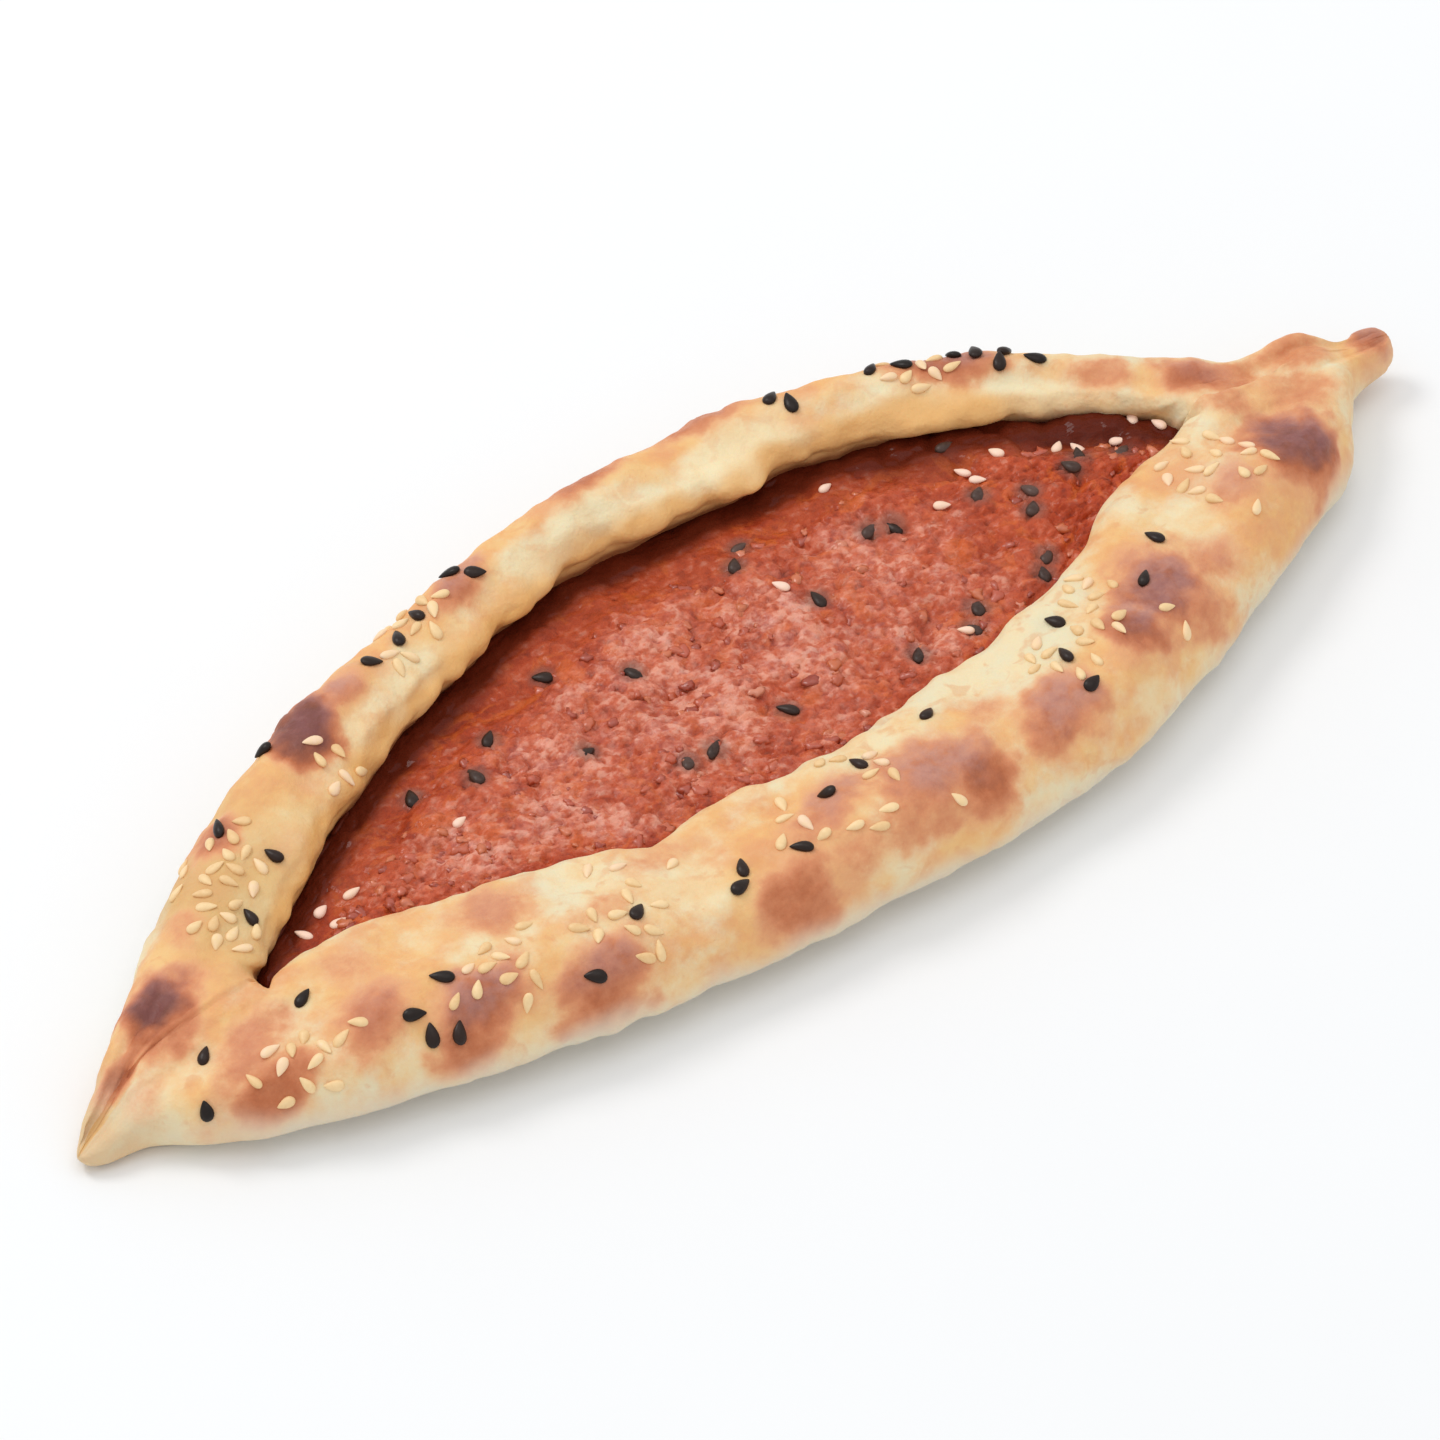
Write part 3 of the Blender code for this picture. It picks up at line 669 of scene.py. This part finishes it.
def crust_looks():
    """Cream and golden dough with scorch marks and a mauve reflection painted on them as a sheen,
    and an inner face that is oil-stained and darkened with painted shade.
    """
    looks = Looks("baked_crust")
    names = ("brown", "painted_sheen", "gold", "low", "lip", "pale", "tan", "oil_stain_and_shade")
    brown, painted_sheen, gold, low, lip, pale, tan, oil_stain_and_shade = map(looks.attribute, names)
    broad = looks.noise(9.0, 4.0)
    fine = looks.noise(1.6, 4.0, 0.6)
    dough = looks.ramp(
        looks.between(broad, 0.3, 0.7),
        ((0.0, 230, 219, 184), (0.5, 236, 217, 175), (1.0, 236, 205, 156)),
    )
    golden = looks.ramp(
        looks.between(looks.noise(6.0, 4.0), 0.3, 0.7),
        ((0.0, 236, 192, 130), (0.5, 234, 178, 116), (1.0, 228, 164, 112)),
    )
    mottle = looks.math("SUBTRACT", looks.noise(4.5, 6.0, 0.65), 0.5)
    gilding = looks.plus(gold, looks.times(mottle, 1.3))
    dough = looks.mix(looks.between(gilding, 0.15, 1.0), dough, golden)
    freckles = looks.between(looks.noise(3.2, 4.0, 0.5, 0.6), 0.54, 0.68)
    dough = looks.tinted(dough, freckles, 0.4, 224, 158, 104)
    dough = looks.tinted(dough, pale, 0.5, 246, 230, 188)
    dough = looks.tinted(dough, tan, 0.55, 204, 170, 112)
    wobble = looks.times(looks.math("SUBTRACT", fine, 0.5), 0.3)
    burn = looks.plus(brown, looks.times(wobble, looks.between(brown, 0.0, 0.3)))
    scorched = looks.ramp(
        burn,
        (
            (0.0, 236, 192, 140), (0.3, 227, 164, 116), (0.48, 211, 136, 94),
            (0.66, 186, 106, 66), (0.84, 152, 82, 52), (1.0, 116, 62, 44),
        ),
    )  # fmt: skip
    colour = looks.mix(looks.between(burn, 0.06, 0.4), dough, scorched)
    mauve = looks.ramp(
        burn,
        ((0.3, 218, 160, 132), (0.6, 194, 142, 128), (0.8, 160, 110, 106), (1.0, 132, 78, 78)),
    )
    # Painted sheen: a mauve reflection painted on the scorch marks' upward faces.
    sheen = looks.times(painted_sheen, looks.between(looks.noise(2.6, 4.0), 0.2, 0.6))
    colour = looks.mix(looks.times(sheen, 0.8), colour, mauve)
    colour = looks.tinted(colour, low, 0.9, 222, 212, 190)
    colour = looks.tinted(colour, lip, 0.85, 230, 172, 98)
    # The basin's inner face below the lip: oil stain and painted shade in one dark orange-brown.
    colour = looks.tinted(colour, oil_stain_and_shade, 0.85, 158, 82, 44)
    looks.set(
        Base_Color=colour,
        Roughness=looks.math("SUBTRACT", 0.64, looks.times(burn, 0.14)),
        Specular_IOR_Level=0.35,
        Subsurface_Weight=0.12,
        Subsurface_Radius=(1.0, 0.55, 0.3),
        Subsurface_Scale=0.0025,
    )
    grain = looks.plus(looks.noise(0.7, 3.0, 0.55), looks.times(fine, 1.4))
    looks.bump(grain, 0.18, 0.7)
    return looks.material


def filling_looks():
    """Moist red paste: orange and dark streaks, toned grains and a milky haze on the crests.

    The crests carry painted light and highlights, partly the cheese's own paleness, and the
    hollows, the crevices and the paste under the far lip carry painted shade.
    """
    looks = Looks("pepper_paste")
    names = ("crest", "haze", "halo", "shade", "tone")
    crest, haze, halo, shade, tone = map(looks.attribute, names)
    broad = looks.between(looks.noise(8.0, 3.0), 0.32, 0.68)
    paste = looks.ramp(broad, ((0.0, 162, 54, 20), (0.5, 182, 66, 28), (1.0, 190, 76, 38)))
    orange = looks.between(looks.noise(5.0, 4.0, 0.6, 0.8), 0.52, 0.64)
    paste = looks.tinted(paste, orange, 0.8, 208, 88, 24)
    dark = looks.between(looks.noise(2.0, 4.0, 0.65, 0.8), 0.54, 0.66)
    paste = looks.tinted(paste, dark, 0.75, 122, 34, 12)
    spoonfuls = looks.between(looks.noise(16.0, 3.0, 0.5), 0.4, 0.62)
    paste = looks.tinted(paste, spoonfuls, 0.35, 214, 104, 66)
    # Painted shade: darker in the hollows between the grains.
    hollow_shade = looks.between(crest, 0.35, 0.0)
    paste = looks.tinted(paste, hollow_shade, 0.6, 128, 40, 20)
    # Painted light: grains lighter on their crests; their tones otherwise differ at random.
    lightness = looks.plus(looks.times(tone, 0.9), looks.times(crest, 0.25))
    lightness = looks.plus(lightness, looks.times(haze, 0.3))
    breakup = looks.times(looks.noise(1.3, 3.0, 0.5, 0.4), 1.5)
    lightness = looks.math("SUBTRACT", looks.plus(lightness, breakup), 1.0)
    grains = looks.ramp(
        lightness,
        (
            (0.0, 112, 32, 16), (0.3, 168, 56, 26), (0.55, 194, 80, 42),
            (0.75, 212, 112, 82), (1.0, 240, 172, 148),
        ),
    )  # fmt: skip
    grainy = looks.plus(0.35, looks.times(haze, 0.5))
    paste = looks.mix(grainy, paste, grains)
    paste = looks.tinted(paste, orange, 0.35, 218, 110, 50)
    # Pale pink speckle on the crests in the middle: partly cheese, partly painted highlights on the
    # wet paste.
    cheese_and_glints = looks.between(looks.noise(1.8, 5.0, 0.7, 0.3), 0.42, 0.68)
    speckle = looks.times(looks.times(crest, haze), cheese_and_glints)
    paste = looks.tinted(paste, speckle, 0.62, 240, 172, 152)
    bluish = looks.between(looks.noise(3.2, 4.0, 0.6, 0.5), 0.5, 0.62)
    veil = looks.mix(bluish, srgb(222, 140, 112), srgb(206, 158, 152))
    paste = looks.mix(looks.times(haze, 0.22), paste, veil)
    paste = looks.tinted(paste, halo, 0.6, 126, 90, 80)
    # Painted shade: dark red-brown where the far rim's shadow and the crevices' shade fall.
    paste = looks.mix(shade, paste, srgb(92, 26, 6))
    looks.set(
        Base_Color=paste,
        Roughness=looks.plus(0.26, looks.times(shade, 0.6)),
        Specular_IOR_Level=0.24,
        Specular_Tint=(1.0, 0.5, 0.4, 1.0),
        Coat_Weight=0.2,
        Coat_Roughness=0.11,
        Subsurface_Weight=0.06,
        Subsurface_Radius=(1.0, 0.35, 0.2),
        Subsurface_Scale=0.0012,
    )
    grain = looks.plus(looks.noise(0.9, 4.0, 0.65, 0.7), looks.noise(0.4, 3.0, 0.6))
    looks.bump(grain, 0.26, 0.8)
    return looks.material


def crumb_looks():
    """Wet crumbs from dark pepper to pale cheese, by each crumb's tone."""
    looks = Looks("pepper_crumbs")
    colour = looks.ramp(
        looks.attribute("tone"),
        (
            (0.0, 158, 60, 36), (0.4, 190, 84, 54), (0.7, 200, 104, 60),
            (0.9, 206, 110, 72), (1.0, 214, 134, 104),
        ),
    )  # fmt: skip
    looks.set(Base_Color=colour, Roughness=0.28, Specular_IOR_Level=0.6)
    looks.set(Coat_Weight=0.3, Coat_Roughness=0.15)
    looks.bump(looks.noise(0.5, 3.0), 0.1, 0.6)
    return looks.material


def seed_looks(name, stops, roughness, specular, ridges):
    """A seed's material: a colour by seed, faint speckle and fine lengthwise relief."""
    looks = Looks(name)
    tone = looks.attribute("tone")
    speckle = looks.times(looks.math("SUBTRACT", looks.noise(0.5, 3.0), 0.5), 0.4)
    looks.set(
        Base_Color=looks.ramp(looks.plus(tone, speckle), stops),
        Roughness=roughness,
        Specular_IOR_Level=specular,
    )
    looks.bump(looks.noise(0.35, 2.0), ridges, 0.6)
    return looks.material


def floor_looks():
    looks = Looks("pale_floor")
    tone = looks.ramp(looks.noise(60.0, 2.0), ((0.0, 242, 243, 244), (1.0, 244, 245, 246)))
    looks.set(Base_Color=tone, Roughness=0.9, Specular_IOR_Level=0.1)
    return looks.material


def inner_face(rings):
    """1 on the basin's side of the rims and 0 on their outer side, at every point."""
    count = rings.shape[1]
    from_foot = np.arange(count)
    from_foot = np.minimum(from_foot, count - ACROSS_BOTTOM - 1 - from_foot) / PER_STEP
    return smoothstep(from_foot - (LIP_POINT - 0.6))


def crust_zones(rings, smooth, brown, gold):
    """The crust's toned zones, as numbers at every point by name.

    The smooth rings hold the points' places before the relief moved them.
    """
    x = rings[..., 0]
    u = smooth[..., 0] / LENGTH + 0.5
    y, z = smooth[..., 1], smooth[..., 2]
    inside = inner_face(rings)
    beside_far_lip = y - spline(FAR_LIP, u)
    across = beside_far_lip / (spline(FAR_EDGE, u) - spline(FAR_LIP, u))
    along_opening = smoothstep((u - OPENING_START) / 0.06) * smoothstep((OPENING_END - u) / 0.1)
    spots = golden_spots(rings)
    pale = along_opening * smoothstep((beside_far_lip + 1.0) / 1.0)
    pale *= smoothstep((0.62 - across + 0.25 * noise_at(rings, 7.0)) / 0.3)
    pale *= (0.5 + 0.5 * smoothstep((u - 0.44) / 0.12)) * (1 - 0.8 * spots)
    patches = smoothstep(0.5 + 1.3 * noise_at(rings, 12.0) + 0.5 * noise_at(rings, 5.0))
    outer_far = along_opening * smoothstep((across - 0.5) / 0.25)
    left_far = smoothstep((0.46 - u) / 0.16) * smoothstep((across + 0.1) / 0.2)
    left_far *= smoothstep((u - 0.1) / 0.04)
    golden = 0.6 * gold + 0.5 * patches + 0.5 * outer_far + 0.4 * left_far + 0.8 * spots
    low = smoothstep((9.2 - z + 1.5 * noise_at(rings, 8.0)) / 5.0) * (1 - inside)
    low *= 0.35 + 0.65 * smoothstep((0.45 * LENGTH - np.abs(x)) / 12.0)
    tanned = left_far * np.exp(-(((x - TAN_PATCH[0]) / TAN_PATCH[1]) ** 2))
    band, band_inside, band_wide = LIP_BAND
    widest = np.exp(-(((x - WIDE_LIP[0]) / WIDE_LIP[1]) ** 2))
    lip_reach = band + band_inside * inside + band_wide * widest + 0.6
    lip = along_opening * (1 - 0.6 * smoothstep((u - 0.76) / 0.05))
    lip *= smoothstep((lip_reach - beside_far_lip + 1.6 * noise_at(rings, 6.0)) / 3.0)
    return {
        "brown": brown * smoothstep((z - 3.5) / 4.0),
        "gold": np.clip(golden, 0, 1) * (1 - 0.75 * pale),
        "low": low,
        "pale": pale,
        "tan": np.maximum(tanned, smoothstep((0.06 - u) / 0.04)),
        "lip": lip * smoothstep((beside_far_lip + 4.0) / 1.0),
        # The basin's inner face below the lip: oil stain and painted shade.
        "oil_stain_and_shade": inside * openness(u) * smoothstep((9.6 - z) / 1.6),
    }


def make_bread():
    """The crust over the whole bread, with its relief and its toned zones."""
    rings = bread_rings(BREAD_STATIONS, PER_STEP, ACROSS_BOTTOM)
    smooth = rings.copy()
    brown, painted_sheen, gold = scorch_of(rings, outward(rings))
    rings[..., 1] += lip_crinkle(rings)
    normals = outward(rings)
    rings += normals * (crust_relief(rings, brown) + tip_fold(rings))[..., None]
    rings[..., 2] = np.maximum(rings[..., 2], 0.0)
    attributes = {"painted_sheen": painted_sheen, **crust_zones(rings, smooth, brown, gold)}
    bread = grid_object("bread_crust", rings, attributes)
    bread.data.materials.append(crust_looks())
    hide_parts("bread")
    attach(bread, "root")
    return bread


def cell_tones(points, size):
    """A random tone from 0 to 1 at each point, the same all over one grain."""
    flat = (points.reshape(-1, 3) / size + size).tolist()
    tones = [noise.cell(noise.voronoi(point)[1][0] * TONE_SCATTER) for point in flat]
    return 0.5 + 0.5 * np.array(tones).reshape(points.shape[:-1])


def grain_relief(points):
    """The paste's grains: (height in millimetres, how much of a crest, tone) at each point."""
    warp_size, warp_reach = GRAIN_WARP
    warp = np.stack([noise_at(points + shift, warp_size) for shift in WARP_SHIFTS], axis=-1)
    warped = points + warp_reach * warp
    lumps = np.clip(1 - 1.25 * noise_at(warped, GRAIN_SIZE, "VORONOI_F1"), -0.4, 1.0)
    grains = np.clip(1 - 1.4 * noise_at(warped, FINE_GRAIN_SIZE, "VORONOI_F1"), -0.4, 1.0)
    height = GRAIN_HEIGHT * lumps + FINE_GRAIN_HEIGHT * grains
    tones = 0.55 * cell_tones(warped, FINE_GRAIN_SIZE) + 0.45 * cell_tones(warped, GRAIN_SIZE)
    return height, smoothstep((0.5 * lumps + 0.6 * grains - 0.1) / 0.6), tones


def seed_halos(rings):
    """How near every point is to a black seed on the paste, from 0 to 1."""
    halo = np.zeros(rings.shape[:2])
    for seed_x, seed_y, _ in BLACK_ON_FILLING:
        far = np.hypot(rings[..., 0] - seed_x, rings[..., 1] - seed_y)
        halo = np.maximum(halo, smoothstep((HALO_REACH - far) / HALO_FADE))
    return halo


def make_filling():
    """The pepper paste over the whole filling, grainy on top and smoother by the far lip."""
    rings = filling_rings(FILLING_STATIONS, PER_STEP, FILLING_BED, FILLING_TOP)
    normals = outward(rings)
    is_top = np.zeros(rings.shape[:2])
    is_top[:, FILLING_BED:] = 1.0
    u = rings[..., 0] / LENGTH + 0.5
    from_far_lip = spline(FAR_LIP, u) - rings[..., 1]
    from_near_lip = rings[..., 1] - spline(NEAR_LIP, u)
    right_end = smoothstep((u - 0.6) / 0.14)
    wander = 2.5 * noise_at(rings, 9.0)
    smooth_band = 1 - smoothstep((from_far_lip + wander - SMOOTH_BAND) / 6.0)
    height, crest, tones = grain_relief(rings)
    clumps = np.clip(1 - 1.3 * noise_at(rings, CLUMP_SIZE, "VORONOI_F1"), -0.6, 1.0)
    height = height * (1 - 0.65 * smooth_band) + CLUMP_HEIGHT * (0.3 + 0.7 * right_end) * clumps
    crevices = smoothstep((0.25 - clumps) / 0.7)
    height -= height[is_top > 0].mean()
    rings += normals * (height * is_top)[..., None]
    blobs = smoothstep(0.5 + 1.5 * noise_at(rings, 9.0) + 0.5 * noise_at(rings, 3.5))
    middle = smoothstep((from_far_lip - 9.0) / 8.0) * smoothstep((from_near_lip - 1.0) / 5.0)
    # Painted shade: darker under the far lip, along the smooth band, towards the right end and in
    # the crevices between clumps, where the far rim's shadow and the crevices' shade fall.
    under_lip = 1 - smoothstep((from_far_lip + 0.4 * wander - 1.0) / (5.0 + 3.0 * right_end))
    shade = 0.92 * under_lip + (0.2 + 0.4 * right_end) * smooth_band
    shade += (0.12 + 0.5 * right_end) * crevices
    attributes = {
        "crest": crest * is_top,
        "tone": tones,
        "haze": (0.35 + 0.65 * blobs) * middle * smoothstep((0.74 - u) / 0.14),
        "halo": seed_halos(rings),
        "shade": np.clip(shade, 0, 1),
    }
    filling = grid_object("pepper_filling", rings, attributes)
    filling.data.materials.append(filling_looks())
    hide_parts("filling")
    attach(filling, "root")
    return filling


def surface_of(obj):
    """An object's surface, to cast rays at."""
    return BVHTree.FromObject(obj, bpy.context.evaluated_depsgraph_get())


def seed_pose(surface, size, x, y, heading, levelled=0.0):
    """Where a seed lies flat on a surface seen from above, or None where it would slide off.

    A levelled seed lies flatter than the surface, by this share.
    """
    above = Vector(placed((x, y, ABOVE_ALL)))
    point, normal, _, _ = surface.ray_cast(above, Vector((0.0, 0.0, -1.0)))
    if point is None or normal.z < STEEPEST_SEED or point.z < LOWEST_SEED * MM:
        return None
    normal = normal.lerp(Vector((0.0, 0.0, 1.0)), levelled).normalized()
    turn = math.radians(heading)
    forward = Vector((math.cos(turn), math.sin(turn), 0.0))
    forward = (forward - normal * forward.dot(normal)).normalized()
    axes = Matrix((forward, normal.cross(forward), normal)).transposed().to_4x4()
    lift = (0.5 - SEED_SINK) * 0.5 * size[2] * MM
    return Matrix.Translation(point + normal * lift) @ axes


def scattered(surface, patches, taken):
    """Places for the sesame of every patch, apart from each other and from the taken places."""
    rng = random.Random(RANDOM_SEED)
    poses = []
    taken = list(taken)
    for x, y, reach, many in patches:
        wanted = len(poses) + many
        for _ in range(MOST_TRIES):
            turn, out = rng.uniform(0, math.tau), reach * math.sqrt(rng.random())
            place = (x + out * math.cos(turn), y + out * math.sin(turn))
            pose = seed_pose(surface, SESAME_SIZE, *place, rng.uniform(0, 360))
            if pose is None or min(math.dist(place, other) for other in taken) < SEED_SPACING:
                continue
            taken.append(place)
            poses.append(pose)
            if len(poses) == wanted:
                break
    return poses


def ball(segments, rings):
    """A unit ball's points and faces, with its poles along X."""
    bm = bmesh.new()
    bmesh.ops.create_uvsphere(bm, u_segments=segments, v_segments=rings, radius=1.0)
    points = np.array([(v.co.z, v.co.x, v.co.y) for v in bm.verts])
    faces = sorted([v.index for v in face.verts] for face in bm.faces)
    bm.free()
    return points, faces


def joined_copies(name, shapes, tones, faces):
    """One object made of many copies of a shape, each with its own points and tone."""
    size = len(shapes[0])
    all_faces = [[k * size + i for i in face] for k in range(len(shapes)) for face in faces]
    mesh = bpy.data.meshes.new(name)
    mesh.from_pydata(np.concatenate(shapes).tolist(), [], all_faces)
    layer = mesh.attributes.new("tone", "FLOAT", "POINT")
    layer.data.foreach_set("value", np.repeat(np.array(tones, np.float32), size))
    mesh.shade_smooth()
    obj = bpy.data.objects.new(name, mesh)
    bpy.context.scene.collection.objects.link(obj)
    return obj


def make_seeds(name, size, material, groups):
    """Teardrop seeds, narrowing to +X, each a little different.

    Each group holds poses, the darkest and lightest tone, and how far the seeds sink in.
    """
    rng = random.Random(f"{name} {RANDOM_SEED}")
    points, faces = ball(*SEED_MESH)
    far = points[:, 0]
    widest, narrowing, rounding = SEED_TAPER
    taper = widest * (1 - narrowing * far - rounding * far**2)
    shapes, tones = [], []
    for poses, spread, sink in groups:
        for pose in filter(None, poses):
            length, width, thickness = (
                0.5 * MM * side * rng.uniform(*SEED_SPREAD) for side in size
            )
            bend = SEED_BEND * (far**2 - 0.4) * rng.uniform(-1, 1)
            shape = np.column_stack(
                [
                    far * length,
                    (points[:, 1] * taper + bend) * width,
                    points[:, 2] * taper * thickness - sink * MM,
                ]
            )
            turn = np.array(pose)
            shapes.append(shape @ turn[:3, :3].T + turn[:3, 3])
            tones.append(rng.uniform(*spread))
    seeds = joined_copies(name, shapes, tones, faces)
    seeds.data.materials.append(material)
    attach(seeds, "root")


def make_crumbs(surface):
    """Small moist crumbs, half sunk in the filling's surface."""
    rng = random.Random(RANDOM_SEED + 1)
    points, faces = ball(*CRUMB_MESH)
    shapes, tones = [], []
    while len(shapes) < CRUMBS:
        u = rng.uniform(OPENING_START + OPENING_RAMP, OPENING_END - OPENING_RAMP)
        low, high = float(spline(NEAR_LIP, u)), float(spline(FAR_LIP, u))
        x, y = (u - 0.5) * LENGTH, rng.uniform(low, max(low, high - CRUMBS_BELOW_LIP))
        above = Vector(placed((x, y, CRUMB_DROP)))
        hit, _, _, _ = surface.ray_cast(above, Vector((0.0, 0.0, -1.0)))
        if hit is None:
            continue
        reach = rng.uniform(*CRUMB_REACH) ** 1.2 * MM
        shift = Vector((rng.uniform(-9, 9), rng.uniform(-9, 9), rng.uniform(-9, 9)))
        lumps = [noise.noise(Vector(point) * 1.3 + shift) for point in points]
        knobs = 1 + CRUMB_KNOBS * np.array(lumps)
        shape = points * knobs[:, None] * reach * CRUMB_SHAPE
        turn = rng.uniform(0, math.tau)
        c, s = math.cos(turn), math.sin(turn)
        flat = np.column_stack(
            [shape[:, 0] * c - shape[:, 1] * s, shape[:, 0] * s + shape[:, 1] * c, shape[:, 2]]
        )
        shapes.append(flat + np.array(hit) - (0.0, 0.0, CRUMB_SINK * reach))
        tones.append(rng.random() ** 1.3)
    crumbs = joined_copies("pepper_crumbs", shapes, tones, faces)
    crumbs.data.materials.append(crumb_looks())
    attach(crumbs, "root")


def dress(bread, filling):
    """The seeds and crumbs, laid on the finished surfaces."""
    on_bread, on_filling = surface_of(bread), surface_of(filling)
    black_seed = seed_looks(
        "black_seed",
        ((0.0, 20, 12, 8), (0.5, 46, 28, 20), (1.0, 96, 72, 64)),
        roughness=0.36,
        specular=0.28,
        ridges=0.05,
    )
    sesame_seed = seed_looks(
        "sesame_seed",
        ((0.0, 222, 170, 108), (0.6, 244, 212, 160), (1.0, 250, 214, 194)),
        roughness=0.45,
        specular=0.45,
        ridges=0.04,
    )
    black_on_bread = [seed_pose(on_bread, BLACK_SIZE, *place) for place in BLACK_ON_BREAD]
    black_in_filling, sesame_on_filling = (
        [seed_pose(on_filling, size, *place, levelled=SEED_LEVELLING) for place in places]
        for size, places in ((BLACK_SIZE, BLACK_ON_FILLING), (SESAME_SIZE, SESAME_ON_FILLING))
    )
    taken = [place[:2] for place in BLACK_ON_BREAD]
    sesame_on_bread = scattered(on_bread, SESAME_PATCHES + MORE_SESAME, taken)
    black_groups = ((black_on_bread, (0.05, 0.45), 0.0), (black_in_filling, (0.45, 0.95), 0.3))
    make_seeds("black_seeds", BLACK_SIZE, black_seed, black_groups)
    sesame_groups = ((sesame_on_bread, (0.3, 0.8), 0.1), (sesame_on_filling, (0.9, 1.0), 0.0))
    make_seeds("white_sesame", SESAME_SIZE, sesame_seed, sesame_groups)
    make_crumbs(on_filling)


def make_floor():
    bpy.ops.mesh.primitive_plane_add(size=FLOOR_SIZE, location=(0.0, 0.0, 0.0))
    floor = bpy.context.object
    floor.name = "floor"
    floor.data.materials.append(floor_looks())


def make_camera():
    """The photo's view, from the near side and the left."""
    azimuth, elevation = math.radians(CAMERA_AZIMUTH), math.radians(CAMERA_ELEVATION)
    back = Vector(
        (
            math.sin(azimuth) * math.cos(elevation),
            -math.cos(azimuth) * math.cos(elevation),
            math.sin(elevation),
        )
    )
    right = (-back).cross(Vector((0.0, 0.0, 1.0))).normalized()
    up = back.cross(right)
    target = Vector(placed(FRAMED_POINT)) + right * FRAMED_OFFSET[0] + up * FRAMED_OFFSET[1]
    data = bpy.data.cameras.new("camera")
    data.lens = CAMERA_LENS
    data.clip_end = FARTHEST_SEEN
    camera = bpy.data.objects.new("camera", data)
    bpy.context.scene.collection.objects.link(camera)
    axes = Matrix((right, up, back)).transposed().to_4x4()
    camera.matrix_world = Matrix.Translation(target + back * CAMERA_DISTANCE) @ axes
    bpy.context.scene.camera = camera


def make_light(name, place, size, power, colour):
    """A round area light that shines at the origin."""
    data = bpy.data.lights.new(name, "AREA")
    data.shape = "DISK"
    data.size = size
    data.energy = power
    data.color = colour
    light = bpy.data.objects.new(name, data)
    bpy.context.scene.collection.objects.link(light)
    light.matrix_world = Matrix.Translation(place) @ (
        (-Vector(place)).to_track_quat("-Z", "Y").to_matrix().to_4x4()
    )


def make_lights():
    """A soft key light from behind on the left, a broad one above and a pale world."""
    make_light("key", *KEY_LIGHT)
    make_light("top", *TOP_LIGHT)
    world = bpy.data.worlds.new("studio")
    world.use_nodes = True
    background = world.node_tree.nodes["Background"]
    background.inputs["Color"].default_value = WORLD_COLOUR
    background.inputs["Strength"].default_value = WORLD_STRENGTH
    bpy.context.scene.world = world
    bpy.context.scene.view_settings.view_transform = "Standard"


make_camera()
dress(make_bread(), make_filling())
make_floor()
make_lights()
